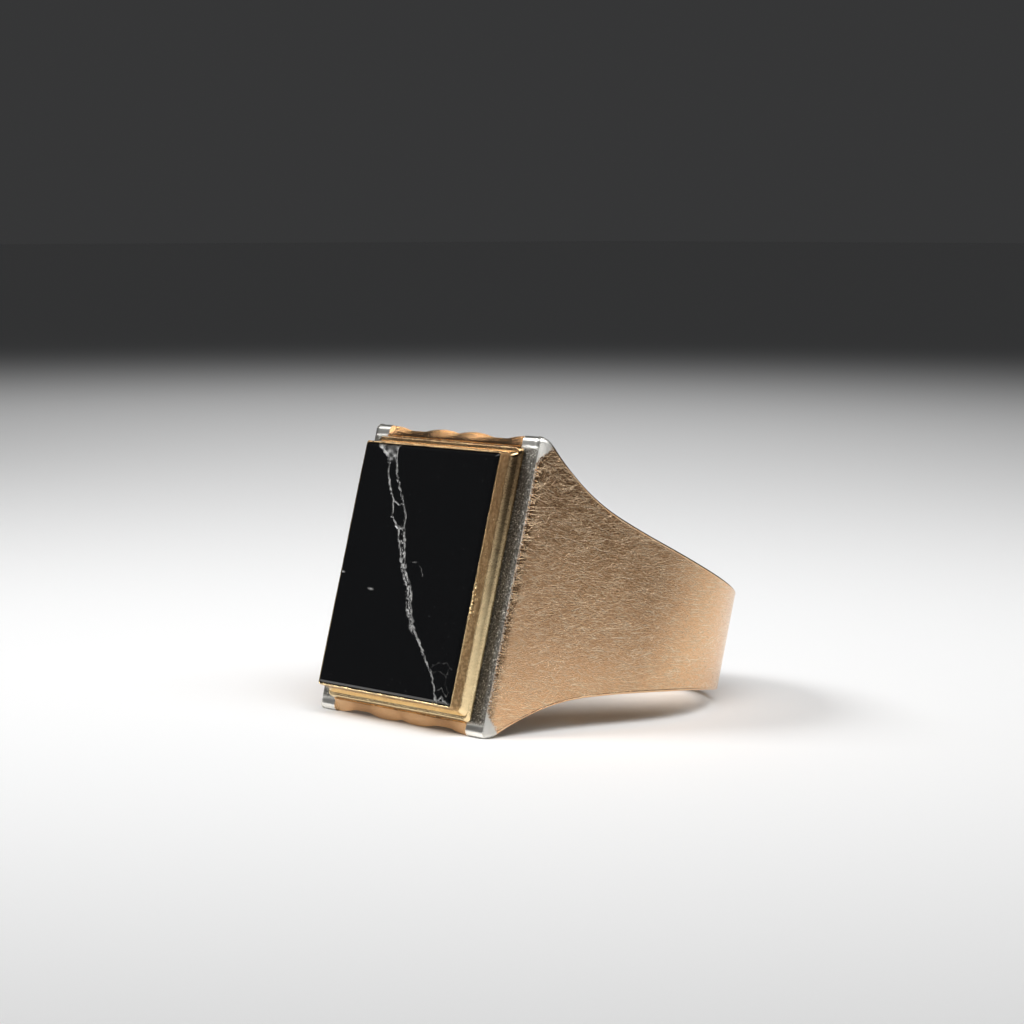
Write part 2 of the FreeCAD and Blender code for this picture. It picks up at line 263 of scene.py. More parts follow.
class Wire:
    """One output of a node tree, with arithmetic that adds Math nodes."""

    def __init__(self, graph: Graph, socket: bpy.types.NodeSocket) -> None:
        """Keep the tree and the socket."""
        self.graph = graph
        self.socket = socket

    def math(self, operation: str, *others: Wire | float) -> Wire:
        """Add one Math node that starts with this value."""
        values = dict(enumerate((self, *others)))
        return self.graph.wire("ShaderNodeMath", {"operation": operation}, values)

    def reflected(self, operation: str, first: float) -> Wire:
        """Add one Math node that ends with this value."""
        return self.graph.wire("ShaderNodeMath", {"operation": operation}, {0: first, 1: self})

    def __add__(self, other: Wire | float) -> Wire:
        """Sum."""
        return self.math("ADD", other)

    __radd__ = __add__

    def __sub__(self, other: Wire | float) -> Wire:
        """Difference."""
        return self.math("SUBTRACT", other)

    def __rsub__(self, other: float) -> Wire:
        """Difference from a number."""
        return self.reflected("SUBTRACT", other)

    def __mul__(self, other: Wire | float) -> Wire:
        """Product."""
        return self.math("MULTIPLY", other)

    __rmul__ = __mul__

    def __truediv__(self, other: Wire | float) -> Wire:
        """Quotient."""
        return self.math("DIVIDE", other)

    def __pow__(self, other: Wire | float) -> Wire:
        """Power."""
        return self.math("POWER", other)

    def __abs__(self) -> Wire:
        """Size without its sign."""
        return self.math("ABSOLUTE")

    def least(self, other: Wire | float) -> Wire:
        """The smaller of the two."""
        return self.math("MINIMUM", other)

    def most(self, other: Wire | float) -> Wire:
        """The larger of the two."""
        return self.math("MAXIMUM", other)

    def ramp(self, low: float, high: float) -> Wire:
        """Go smoothly from 0 at low to 1 at high."""
        return self.graph.wire("ShaderNodeMapRange", {"interpolation_type": "SMOOTHSTEP"},
                               {"Value": self, "From Min": low, "From Max": high})


class Graph:
    """A node tree that is built from Python expressions."""

    def __init__(self, tree: bpy.types.NodeTree) -> None:
        """Keep the tree."""
        self.tree = tree

    @staticmethod
    def pick(sockets: bpy.types.bpy_prop_collection, key: str | int) -> bpy.types.NodeSocket:
        """Find a socket by number, or the one in use by name."""
        if isinstance(key, int):
            return sockets[key]
        return next(socket for socket in sockets if socket.name == key and socket.enabled)

    def node(self, kind: str, settings: dict | None = None,
             inputs: dict | None = None) -> bpy.types.Node:
        """Add a node.

        Args:
            kind: the node's type.
            settings: its properties, which are set first.
            inputs: values or wires for its sockets, by name or number.

        Returns:
            The node.
        """
        made = self.tree.nodes.new(kind)
        for name, choice in (settings or {}).items():
            setattr(made, name, choice)
        for key, value in (inputs or {}).items():
            socket = self.pick(made.inputs, key)
            if isinstance(value, Wire):
                self.tree.links.new(value.socket, socket)
            else:
                socket.default_value = value
        return made

    def wire(self, kind: str, settings: dict | None = None, inputs: dict | None = None,
             output: str | int = 0) -> Wire:
        """Add a node and take one of its outputs."""
        return Wire(self, self.pick(self.node(kind, settings, inputs).outputs, output))

    def split(self, vector: Wire) -> tuple[Wire, Wire, Wire]:
        """Take a vector's three parts."""
        parts = self.node("ShaderNodeSeparateXYZ", None, {0: vector})
        return tuple(Wire(self, socket) for socket in parts.outputs)

    def join(self, first: Wire | float, second: Wire | float, third: Wire | float) -> Wire:
        """Make a vector of three parts."""
        return self.wire("ShaderNodeCombineXYZ", None, {0: first, 1: second, 2: third})


@dataclass(frozen=True)
class Stroke:
    """A family of fine lines that all run one way.

    The angle is in degrees, the length and width in millimetres, and the share is the noise
    level above which a line shows.
    """

    angle: float
    length: float
    width: float
    share: float


class Shader(Graph):
    """The node tree of one material."""

    STROKE_EDGE = 0.05

    def __init__(self, name: str, space: RingSpace) -> None:
        """Make an empty material."""
        self.material = bpy.data.materials.new(name)
        self.material.use_nodes = True
        super().__init__(self.material.node_tree)
        self.tree.nodes.clear()
        self.space = space

    def ring_place(self) -> Wire:
        """The point on the piece, in ring millimetres."""
        place = self.wire("ShaderNodeTexCoord", None, None, "Object")
        scale = (1 / MM, 1 / MM, 1 / MM)
        return self.wire("ShaderNodeMapping", {"vector_type": "POINT"},
                         {"Vector": place, "Scale": scale, "Rotation": (self.space.tilt, 0, 0),
                          "Location": self.space.shift()})

    def mark(self, title: str, output: str = "Fac") -> Wire:
        """A value kept on the piece's vertices."""
        return self.wire("ShaderNodeAttribute", {"attribute_name": title}, None, output)

    def noise(self, place: Wire, size: float, detail: float = 2.0, rough: float = 0.5) -> Wire:
        """Soft noise whose features are about one size across."""
        return self.wire("ShaderNodeTexNoise", None,
                         {"Vector": place, "Scale": 1 / size, "Detail": detail,
                          "Roughness": rough})

    def strokes(self, place: Wire, stroke: Stroke, seed: float) -> Wire:
        """Fine short lines that all run one way.

        Args:
            place: coordinates in millimetres whose first two parts lie in the surface.
            stroke: the lines' direction, size and number.
            seed: moves the pattern.

        Returns:
            1 on a line and 0 between the lines.
        """
        turned = self.wire("ShaderNodeMapping", {"vector_type": "TEXTURE"},
                           {"Vector": place, "Location": (seed, 1.7 * seed, 2.3 * seed),
                            "Rotation": (0, 0, math.radians(stroke.angle)),
                            "Scale": (stroke.length, stroke.width, 1)})
        return self.noise(turned, 1.0, 0.0).ramp(stroke.share, stroke.share + self.STROKE_EDGE)

    def blend(self, factor: Wire | float, first: Wire | Colour, second: Wire | Colour) -> Wire:
        """Mix two colours."""
        return self.wire("ShaderNodeMix", {"data_type": "RGBA"},
                         {"Factor": factor, "A": first, "B": second}, "Result")

    def bump(self, height: Wire, depth: float | Wire) -> Wire:
        """Raise the surface by a height times a depth, in millimetres."""
        return self.wire("ShaderNodeBump", None,
                         {"Height": height * depth, "Strength": 1.0, "Distance": MM})

    def finish(self, **inputs: Wire | float | Colour) -> bpy.types.Material:
        """Close the tree with one shader; inputs are its sockets, with _ for each space."""
        names = {"ior": "IOR", "specular_ior_level": "Specular IOR Level"}
        sockets = {names.get(key, key.replace("_", " ").title()): value
                   for key, value in inputs.items()}
        surface = self.wire("ShaderNodeBsdfPrincipled", None, sockets)
        self.node("ShaderNodeOutputMaterial", None, {"Surface": surface})
        return self.material


class Recipe(Graph):
    """A Geometry Nodes tree with named inputs for its sizes."""

    def __init__(self, name: str) -> None:
        """Make an empty tree with its geometry output."""
        super().__init__(bpy.data.node_groups.new(name, "GeometryNodeTree"))
        self.entry = self.tree.nodes.new("NodeGroupInput")
        self.tree.interface.new_socket("Geometry", in_out="OUTPUT",
                                       socket_type="NodeSocketGeometry")
        self.identifiers: dict[str, str] = {}

    def size(self, name: str, whole: bool = False) -> Wire:
        """Add a named input for a size or a count."""
        kind = "NodeSocketInt" if whole else "NodeSocketFloat"
        made = self.tree.interface.new_socket(name, in_out="INPUT", socket_type=kind)
        self.identifiers[name] = made.identifier
        return Wire(self, self.entry.outputs[name])

    def deliver(self, geometry: Wire, material: bpy.types.Material) -> None:
        """End the tree in real geometry with a material."""
        real = self.wire("GeometryNodeRealizeInstances", None, {"Geometry": geometry})
        dressed = self.wire("GeometryNodeSetMaterial", None,
                            {"Geometry": real, "Material": material})
        self.node("NodeGroupOutput", None, {"Geometry": dressed})

    def make(self, name: str, maker: Maker, sizes: dict[str, float | int]) -> bpy.types.Object:
        """Run the tree once and keep its result as a plain piece.

        Args:
            name: the piece's name.
            maker: lays the piece in the row's frame.
            sizes: a value for each named input, in ring millimetres.

        Returns:
            The closed piece, with no modifier on it.
        """
        blank = bpy.data.objects.new(f"{name}_blank", bpy.data.meshes.new(f"{name}_blank"))
        bpy.context.scene.collection.objects.link(blank)
        modifier = blank.modifiers.new("recipe", "NODES")
        modifier.node_group = self.tree
        for title, number in sizes.items():
            modifier[self.identifiers[title]] = number
        evaluated = blank.evaluated_get(bpy.context.evaluated_depsgraph_get())
        mesh = bpy.data.meshes.new_from_object(evaluated)
        bpy.data.objects.remove(blank)
        points = np.empty(len(mesh.vertices) * 3)
        mesh.vertices.foreach_get("co", points)
        mesh.vertices.foreach_set("co", maker.space.to_row(points.reshape(-1, 3)).ravel())
        mesh.name = name
        made = bpy.data.objects.new(name, mesh)
        bpy.context.scene.collection.objects.link(made)
        maker.close(made)
        return made


# ---- finishes -------------------------------------------------------------------------------


@dataclass(frozen=True)
class WornGold:
    """Rose gold that years of wear have covered in fine scratches.

    The skin shows where it holds, which falls from the head's seam and towards the tips. The
    heights are in millimetres. The crown only shades the flat sides as if they were domed.
    """

    colour: Colour = (0.90, 0.585, 0.345, 1)
    deep: Colour = (0.80, 0.465, 0.24, 1)
    # Lighter gold for the scratches: a painted highlight where they catch the light.
    scratch_highlight: Colour = (0.99, 0.80, 0.55, 1)
    pit: Colour = (0.16, 0.09, 0.05, 1)
    under: Colour = (0.74, 0.725, 0.68, 1)
    worn: Pair = (0.02, 0.30)
    hold: float = 0.13
    ragged: float = 0.9
    tips: Pair = (7.7, 9.5)
    tip_wear: float = 1.1
    grit_height: float = 0.013
    grain_height: float = 0.008
    mark_depth: float = 0.0029
    pit_depth: float = 0.010
    bare_height: float = 0.012
    crown: float = 0.0019
    scratches: Sequence[Stroke] = (
        Stroke(8, 1.5, 0.045, 0.68), Stroke(-14, 1.1, 0.04, 0.69), Stroke(27, 1.3, 0.05, 0.70),
        Stroke(-38, 0.9, 0.04, 0.71), Stroke(58, 1.0, 0.045, 0.725),
        Stroke(86, 1.2, 0.04, 0.735))

    def material(self, space: RingSpace) -> bpy.types.Material:
        """Build the finish."""
        tree = Shader("worn_rose_gold", space)
        place = tree.mark("lie", "Vector")
        lines = [tree.strokes(place, stroke, 3.7 * number + 1)
                 for number, stroke in enumerate(self.scratches)]
        marks = reduce(Wire.most, lines)
        travel, along, _ = tree.split(place)
        clouds = tree.noise(place, 4.5, 2.0, 0.5)
        grit = tree.noise(place, 0.055, 3.0, 0.65)
        grain = tree.noise(place, 0.16, 3.0, 0.7)
        pits = tree.noise(place, 0.16, 0.0).ramp(0.80, 0.84)
        tone = tree.blend(grain.ramp(0.36, 0.66), self.deep, self.colour)
        marks = marks.most(self.long_scratch(travel, along))
        # The scratches are real grooves, and their lighter colour is a painted highlight.
        tone = tree.blend(marks * 0.8, tone, self.scratch_highlight)
        tone = tree.blend(pits * 0.8, tone, self.pit)
        speckle = tree.noise(place, 0.11, 2.0, 0.7) - 0.5
        held = (tree.mark("front") + self.hold + speckle * self.ragged
                - abs(along).ramp(*self.tips) * self.tip_wear)
        bare = 1 - held.ramp(*self.worn)
        tone = tree.blend(bare, tone, self.under)
        rough = 0.145 + clouds * 0.04 + grit * 0.07 - marks * 0.03 + bare * 0.25
        height = (grit * self.grit_height + grain * self.grain_height
                  - marks * self.mark_depth - pits * self.pit_depth
                  + bare * grit * self.bare_height - along * along * self.crown)
        return tree.finish(base_color=tone, metallic=1.0, roughness=rough,
                           normal=tree.bump(height, 1.0))

    @staticmethod
    def long_scratch(travel: Wire, along: Wire) -> Wire:
        """One long curved scratch high on the shoulder.

        Args:
            travel: how far round the skin a place is, in millimetres.
            along: how far along the finger it is, in millimetres.

        Returns:
            1 in the scratch and 0 outside it.
        """
        start, length, level, sag, width = 1.6, 3.2, 3.7, 0.45, 0.035
        part = (travel - start) / length
        line = along - level + sag * (part - 0.5) * (part - 0.5) * 4
        inside = part.ramp(0.0, 0.15) * (1 - part.ramp(0.85, 1.0))
        return (1 - abs(line).ramp(width * 0.4, width)) * inside


@dataclass(frozen=True)
class BrightGold:
    """Smooth gold inside the finger hole, dulled a little by wear."""

    colour: Colour = (0.92, 0.64, 0.36, 1)
    deep: Colour = (0.82, 0.53, 0.28, 1)
    hoop: Stroke = Stroke(0, 5.0, 0.06, 0.62)
    stray: Stroke = Stroke(35, 1.4, 0.05, 0.70)
    depth: float = 0.0015

    def material(self, space: RingSpace) -> bpy.types.Material:
        """Build the finish."""
        tree = Shader("lining_gold", space)
        place = tree.mark("lie", "Vector")
        hoops = tree.strokes(place, self.hoop, 4.0)
        odd = tree.strokes(place, self.stray, 9.0)
        clouds = tree.noise(place, 1.8, 3.0, 0.6)
        tone = tree.blend(clouds.ramp(0.35, 0.68), self.deep, self.colour)
        rough = 0.09 + clouds * 0.10 + odd * 0.06
        height = hoops * 0.5 + odd * -0.7 + clouds * 0.4
        return tree.finish(base_color=tone, metallic=1.0, roughness=rough,
                           normal=tree.bump(height, self.depth))


@dataclass(frozen=True)
class HeadGold:
    """Yellow gold of the head: bright where rubbed, grained and dark where filed.

    The heights are in millimetres. The slope only shades the faces as if they were turned down.
    """

    colour: Colour = (0.95, 0.76, 0.44, 1)
    deep: Colour = (0.68, 0.42, 0.20, 1)
    # Dark brown for the grime in filed work, and for the painted shade towards the upper end.
    grime_and_shade: Colour = (0.36, 0.205, 0.095, 1)
    dirt: Colour = (0.22, 0.12, 0.05, 1)
    # Where the painted shade grows along the finger, from below the middle to the upper end.
    upper_shade_span: Pair = (-3.5, 7.5)
    filed_height: float = 0.09
    rubbed_height: float = 0.004
    slope: float = 0.068

    def material(self, space: RingSpace, name: str, filed: float) -> bpy.types.Material:
        """Build the finish.

        Args:
            space: the ring's space.
            name: the material's name.
            filed: how strong the grain is where the piece has no mark of its own.

        Returns:
            The material.
        """
        tree = Shader(name, space)
        place = tree.ring_place()
        grained = tree.mark("filed").most(filed)
        clouds = tree.noise(place, 1.1, 3.0, 0.6)
        grit = tree.noise(place, 0.16, 4.0, 0.72)
        dirty = (tree.noise(place, 0.25, 3.0, 0.75) * grained).ramp(0.40, 0.56)
        _, _, along = tree.split(place)
        tone = tree.blend(clouds.ramp(0.32, 0.62) * 0.2 + grained * 0.45, self.colour, self.deep)
        tone = tree.blend(grained.ramp(0.3, 1.0) * 0.4, tone, self.grime_and_shade)
        tone = tree.blend(dirty * 0.6, tone, self.dirt)
        # Painted shade: the head's gold is darker towards its upper end.
        upper_shade = along.ramp(*self.upper_shade_span) * (0.45 + clouds * 0.5)
        tone = tree.blend(upper_shade, tone, self.grime_and_shade)
        rough = 0.11 + clouds * 0.06 + grained * 0.2
        height = grit * (grained * self.filed_height + self.rubbed_height) + along * self.slope
        return tree.finish(base_color=tone, metallic=1.0, roughness=rough,
                           normal=tree.bump(height, 1.0))


@dataclass(frozen=True)
class WhiteMetal:
    """The pale core, rubbed bright at its tips and grey with tarnish beside the head.

    The tarnish ends towards the sides, towards the band and towards the tips, each between two
    distances from the finger axis or the middle of the ring, in millimetres.
    """

    colour: Colour = (0.97, 0.95, 0.89, 1)
    tarnish: Colour = (0.19, 0.18, 0.16, 1)
    hole: Colour = (0.07, 0.065, 0.055, 1)
    # Near-white for the bright specks in the tarnish: painted glints.
    painted_glint: Colour = (0.9, 0.88, 0.8, 1)
    side_end: Pair = (7.75, 8.25)
    band_end: Pair = (4.5, 8.0)
    tip_end: Pair = (8.45, 9.1)
    bright_height: float = 0.002
    dull_height: float = 0.07

    def material(self, space: RingSpace) -> bpy.types.Material:
        """Build the finish."""
        tree = Shader("white_core_metal", space)
        place = tree.ring_place()
        across, depth, along = tree.split(place)
        near_head = (1 - abs(across).ramp(*self.side_end)) * (depth * -1).ramp(*self.band_end)
        inner = 1 - abs(along).ramp(*self.tip_end)
        clouds = tree.noise(place, 0.6, 3.0, 0.6)
        grit = tree.noise(place, 0.12, 4.0, 0.75)
        dull = (near_head * inner * 0.9 + clouds * 0.3 - 0.12).ramp(0.1, 0.85)
        tone = tree.blend(dull, self.colour, self.tarnish)
        tone = tree.blend(grit.ramp(0.50, 0.62) * dull, tone, self.hole)
        # Bright specks in the tarnish are painted glints.
        tone = tree.blend((1 - grit.ramp(0.37, 0.42)) * dull, tone, self.painted_glint)
        return tree.finish(base_color=tone, metallic=1.0, roughness=0.3 + dull * 0.08,
                           normal=tree.bump(grit, self.bright_height + dull * self.dull_height))


@dataclass(frozen=True)
class Onyx:
    """Polished black stone with pale frosted fractures."""

    colour: Colour = (0.0042, 0.0044, 0.0048, 1)
    frost: Colour = (0.62, 0.61, 0.59, 1)
    lint: Colour = (0.3, 0.3, 0.3, 1)
    index: float = 1.54
    frost_height: float = 0.03

    def material(self, space: RingSpace) -> bpy.types.Material:
        """Build the finish."""
        tree = Shader("black_onyx", space)
        place = tree.ring_place()
        sparkle = tree.noise(place, 0.09, 3.0, 0.75)
        glitter = tree.noise(place, 0.05, 2.0, 0.7).ramp(0.42, 0.62)
        broken = (tree.mark("fracture") * (0.25 + sparkle * 0.6 + glitter * 0.9)).least(1.0)
        dust = tree.noise(place, 0.11, 1.0).ramp(0.79, 0.82)
        haze = tree.noise(place, 3.0, 3.0, 0.6)
        tone = tree.blend(dust * 0.3, self.colour, self.lint)
        tone = tree.blend(broken, tone, self.frost)
        rough = (0.05 + haze * 0.05 + dust * 0.3 + broken * 0.4).least(0.8)
        return tree.finish(base_color=tone, roughness=rough, ior=self.index,
                           normal=tree.bump(sparkle * broken, self.frost_height))


@dataclass(frozen=True)
class Filler:
    """A dull rough stuff: the setting cement or the solder in a seam."""

    name: str
    light: Colour
    dark: Colour
    metal: float
    rough: float
    grit_height: float = 0.03

    def material(self, space: RingSpace) -> bpy.types.Material:
        """Build the finish."""
        tree = Shader(self.name, space)
        place = tree.ring_place()
        clouds = tree.noise(place, 0.5, 4.0, 0.7)
        grit = tree.noise(place, 0.09, 4.0, 0.75)
        tone = tree.blend(clouds.ramp(0.35, 0.65), self.light, self.dark)
        return tree.finish(base_color=tone, metallic=self.metal,
                           roughness=self.rough + grit * 0.15,
                           normal=tree.bump(grit, self.grit_height))


@dataclass(frozen=True)
class TableTop:
    """A plain pale matt surface."""

    colour: Colour = (0.86, 0.86, 0.86, 1)

    def material(self, space: RingSpace) -> bpy.types.Material:
        """Build the finish."""
        tree = Shader("pale_table", space)
        return tree.finish(base_color=self.colour, roughness=0.75)


# ---- shank ----------------------------------------------------------------------------------


@dataclass(frozen=True)
class Flare:
    """Half the shank's width along the finger: a round tip, a hollow flare and a long taper."""

    front: float = -12.57
    back: float = 11.05
    half_head: float = 9.6
    tip: float = 1.5
    neck: float = -5.96
    half_neck: float = 5.75
    half_back: float = 3.2

    def half_width(self, depth: np.ndarray) -> np.ndarray:
        """Half the width at ring Y positions.

        Args:
            depth: Y positions in millimetres.

        Returns:
            The half width at each.
        """
        drop = self.half_neck - self.half_back
        taper = ((self.back - self.neck) ** 2 + drop**2) / (2 * drop)
        taper_centre = np.array((self.back, self.half_back + taper))
        neck = np.array((self.neck, self.half_neck))
        tip_centre = np.array((self.front, self.half_head - self.tip))
        inward = (taper_centre - neck) / np.linalg.norm(taper_centre - neck)
        reach = neck - tip_centre
        hollow = (reach @ reach - self.tip**2) / (2 * (self.tip - reach @ inward))
        hollow_centre = neck + inward * hollow
        toward = (hollow_centre - tip_centre) / np.linalg.norm(hollow_centre - tip_centre)
        meeting = tip_centre + toward * self.tip

        def arc(centre: np.ndarray, radius: float, way: float) -> np.ndarray:
            return centre[1] + way * np.sqrt(np.maximum(radius**2 - (depth - centre[0]) ** 2, 0))

        depth = np.clip(depth, self.front, self.back)
        return np.where(depth < meeting[0], arc(tip_centre, self.tip, 1),
                        np.where(depth < self.neck, arc(hollow_centre, hollow, -1),
                                 arc(taper_centre, taper, -1)))


@dataclass
class Stations:
    """Places round one layer of the shank, from its front right to the middle of its back."""

    outer: np.ndarray
    inner: np.ndarray
    inward: np.ndarray
    buried: np.ndarray

    def whole(self) -> Stations:
        """The same places continued round to the front left."""

        def both(values: np.ndarray) -> np.ndarray:
            other = values[:-1][::-1].copy()
            if other.ndim == 2:
                other[:, 0] *= -1
            return np.concatenate((values, other))

        return Stations(*(both(v) for v in (self.outer, self.inner, self.inward, self.buried)))


@dataclass
class Shank:
    """The U of laminated metal: outer skin, core and finger lining."""

    bore: float = 9.75
    outside: float = 11.05
    skin: float = 0.25
    lining: float = 0.25
    head_rise: float = 12.57
    lean: float = math.radians(14.7)
    corner: float = 0.8
    half_gap: float = 6.43
    worn_edge: float = 0.15
    worn_tip: float = 0.42
    worn_face: float = 0.32
    tip_blend: Pair = (-12.3, -9.6)
    seam: float = 0.002
    shoulder: float = 1.2
    flare: Flare = Flare()
    feather_count: int = 14
    face_count: int = 16
    round_count: int = 8
    under_count: int = 7
    side_count: int = 44
    back_count: int = 74
    lining_count: int = 110
    edge_count: int = 9
    room_share: float = 0.9
    bunching: float = 0.93

    @property
    def side_normal(self) -> np.ndarray:
        """The way that the straight right side faces."""
        return np.array((math.cos(self.lean), -math.sin(self.lean)))

    @property
    def corner_centre(self) -> np.ndarray:
        """The centre of the round between the front face and the right side."""
        rise = self.head_rise - self.corner
        across = (self.outside - self.corner - rise * math.sin(self.lean)) / math.cos(self.lean)
        return np.array((across, -rise))

    @property
    def feather(self) -> float:
        """How far round the corner, from the side, the skin thins to nothing."""
        return math.acos(1 - self.skin / self.corner)

    @staticmethod
    def around(radius: float, start: float, stop: float, count: int) -> tuple:
        """Points of an arc about the finger axis and the way that each faces."""
        angles = np.linspace(start, stop, count)
        facing = np.stack((np.cos(angles), np.sin(angles)), -1)
        return radius * facing, facing

    def corner_part(self, angles: np.ndarray) -> tuple[np.ndarray, np.ndarray]:
        """Points of the corner round, by angle from the side, and the way that each faces."""
        turn = -self.lean - angles
        facing = np.stack((np.cos(turn), np.sin(turn)), -1)
        return self.corner_centre + self.corner * facing, facing

    def straight(self, start: np.ndarray, stop: np.ndarray, count: int) -> np.ndarray:
        """Points between two places, without the first."""
        part = np.linspace(0, 1, count + 1)[1:, None]
        return start * (1 - part) + stop * part

    def skin_stations(self) -> Stations:
        """Where the skin runs."""
        angles = np.linspace(self.feather * 0.97, 0, self.feather_count)
        round_points, _ = self.corner_part(angles)
        round_thick = self.skin - self.corner * (1 - np.cos(angles))
        back, back_facing = self.around(self.outside, -self.lean, math.pi / 2, self.back_count)
        side = self.straight(round_points[-1], back[0], self.side_count)
        outer = np.concatenate((round_points, side, back[1:]))
        flat_count = self.feather_count + self.side_count
        facing = np.concatenate((np.tile(self.side_normal, (flat_count, 1)), back_facing[1:]))
        thick = np.concatenate((round_thick, np.full(len(outer) - self.feather_count, self.skin)))
        return Stations(outer, outer - facing * thick[:, None], -facing, np.zeros(len(outer)))

    def core_stations(self) -> Stations:
        """Where the core runs: its front face, then under the skin."""
        radius = self.outside - self.skin - self.seam
        centre = self.corner_centre
        face = np.stack((np.linspace(self.half_gap, centre[0], self.face_count),
                         np.full(self.face_count, -self.head_rise)), -1)
        round_angles = np.linspace(math.pi / 2 - self.lean, self.feather, self.round_count + 1)[1:]
        round_points, round_facing = self.corner_part(round_angles)
        under_angles = np.linspace(self.feather, 0, self.under_count + 1)[1:]
        under_surface, _ = self.corner_part(under_angles)
        under_depth = self.skin - self.corner * (1 - np.cos(under_angles)) + self.seam
        under = under_surface - self.side_normal * under_depth[:, None]
        back, back_facing = self.around(radius, -self.lean, math.pi / 2, self.back_count)
        side = self.straight(under[-1], back[0], self.side_count)
        outer = np.concatenate((face, round_points, under, side, back[1:]))
        flat_count = self.under_count + self.side_count
        facing = np.concatenate((np.tile((0.0, -1.0), (self.face_count, 1)), round_facing,
                                 np.tile(self.side_normal, (flat_count, 1)), back_facing[1:]))
        bare_count = self.face_count + self.round_count
        head_count = bare_count + self.under_count
        buried = np.concatenate((np.zeros(bare_count), under_depth,
                                 np.full(len(outer) - head_count, self.skin + self.seam)))

        seat = self.bore + self.lining + self.seam
        seat_rise = math.sqrt(seat**2 - self.half_gap**2)
        front = np.linspace(-self.head_rise + self.worn_face, -self.head_rise + self.shoulder,
                            head_count)
        shoulder_count = int(np.sum(side[:, 1] < -seat_rise))
        inner_face = np.concatenate((
            front, np.linspace(front[-1], -seat_rise, shoulder_count + 1)[1:]))
        rest = len(outer) - len(inner_face)
        start = math.atan2(-seat_rise, self.half_gap)
        arc, _ = self.around(seat, start, math.pi / 2, rest + 1)
        wall = np.stack((np.full(len(inner_face), self.half_gap), inner_face), -1)
        return Stations(outer, np.concatenate((wall, arc[1:])), -facing, buried)

    def lining_stations(self) -> Stations:
        """Where the finger lining runs; its worn face is the inner one."""
        count = self.lining_count
        seat = self.bore + self.lining
        start = -math.acos(self.half_gap / self.bore)
        finger, facing = self.around(self.bore, start, math.pi / 2, count)
        outer_start = -math.acos(self.half_gap / seat)
        outside, _ = self.around(seat, outer_start, math.pi / 2, count)
        return Stations(finger, outside, facing, np.zeros(count))

    def layer(self, maker: Maker, name: str, half: Stations, across: int, through: int,
              wave: float = 0.0) -> bpy.types.Object:
        """Sweep a rounded section along the stations.

        Args:
            maker: makes the piece.
            name: its name.
            half: the stations of the right half.
            across: points across the worn face.
            through: points across each cut face.
            wave: how far the worn face is out of true, in millimetres.

        Returns:
            The layer, closed at both ends.
        """
        run = half.whole()
        edge = (self.worn_tip + (self.worn_edge - self.worn_tip) * ease(
            *self.tip_blend, run.outer[:, 1]))[:, None]
        buried = run.buried[:, None]
        room = self.room_share * np.linalg.norm(run.inner - run.outer, axis=1)[:, None]
        start = np.arccos(np.clip(1 - buried / edge, 0, 1))
        stop = np.arccos(np.clip(1 - (buried + room) / edge, 0, 1))
        angles = start + (stop - start) * np.linspace(0, 1, self.edge_count)
        sunk = np.maximum(edge * (1 - np.cos(angles)) - buried, 0)
        corner = run.outer[:, None] + run.inward[:, None] * sunk[..., None]
        corner_z = self.flare.half_width(corner[..., 1]) - edge * (1 - np.sin(angles))
        part = np.linspace(0, 1, through + 1)[1:]
        cut = corner[:, -1:] + (run.inner - corner[:, -1])[:, None] * part[None, :, None]
        cut_z = self.flare.half_width(cut[..., 1]) - edge * (1 - np.sin(stop))
        quarter = math.pi / 2 * self.bunching
        levels = np.sin(np.linspace(-1, 1, across) * quarter) / math.sin(quarter)
        face = np.repeat(run.outer[:, None], across, 1)
        face_z = corner_z[:, :1] * levels
        step = np.linalg.norm(np.diff(run.outer, axis=0), axis=1)
        travel = np.concatenate(((0.0,), np.cumsum(step)))
        if wave:
            from_edge = ease(0, 1.2, corner_z[:, :1] - abs(face_z))
            from_end = ease(0, 2.0, self.from_front(travel))[:, None]
            out_of_true = Grain(11).at(travel[:, None], face_z, 3.1) * from_edge * from_end
            face = face + run.inward[:, None] * (wave * (0.5 + 0.5 * out_of_true))[..., None]
        flat = [np.concatenate((face, corner[:, 1:], cut, cut[:, ::-1], corner[:, :0:-1]), 1),
                np.concatenate((face_z, corner_z[:, 1:], cut_z, -cut_z[:, ::-1],
                                -corner_z[:, :0:-1]), 1)]
        stations, around = flat[1].shape
        points = np.concatenate((flat[0], flat[1][..., None]), -1).reshape(-1, 3)
        long = np.repeat(travel, around)
        depth = np.linalg.norm(flat[0] - run.outer[:, None], axis=-1).ravel()
        faces = band_faces(stations, around, True)
        faces += [tuple(range(around)), tuple(range((stations - 1) * around, stations * around))]
        marks = {"lie": np.stack((long, points[:, 2], depth), -1),
                 "front": np.repeat(self.from_front(travel), around)}
        return maker.piece(name, points, faces, marks)

    @staticmethod
    def from_front(travel: np.ndarray) -> np.ndarray:
        """How far each station is from the nearer front end."""
        return np.minimum(travel, travel[-1] - travel)

    def build(self, maker: Maker) -> None:
        """Make the three layers."""
        skin = self.layer(maker, "outer_skin", self.skin_stations(), 46, 3, 0.03)
        maker.settle(skin, "rose_gold", WornGold().material(maker.space), ["shank_outer_skin"])
        core = self.layer(maker, "white_core", self.core_stations(), 40, 14)
        maker.settle(core, "white_metal", WhiteMetal().material(maker.space), ["shank_core"])
        lining = self.layer(maker, "finger_lining_worn", self.lining_stations(), 30, 3)
        maker.settle(lining, "lining_gold", BrightGold().material(maker.space), ["finger_lining"])


# ---- head -----------------------------------------------------------------------------------


@dataclass(frozen=True)
class Step:
    """One loop of a moulded frame: its half sizes, its corner and its rise."""

    half_width: float
    half_length: float
    corner: float
    rise: float
    filed: float = 0.0


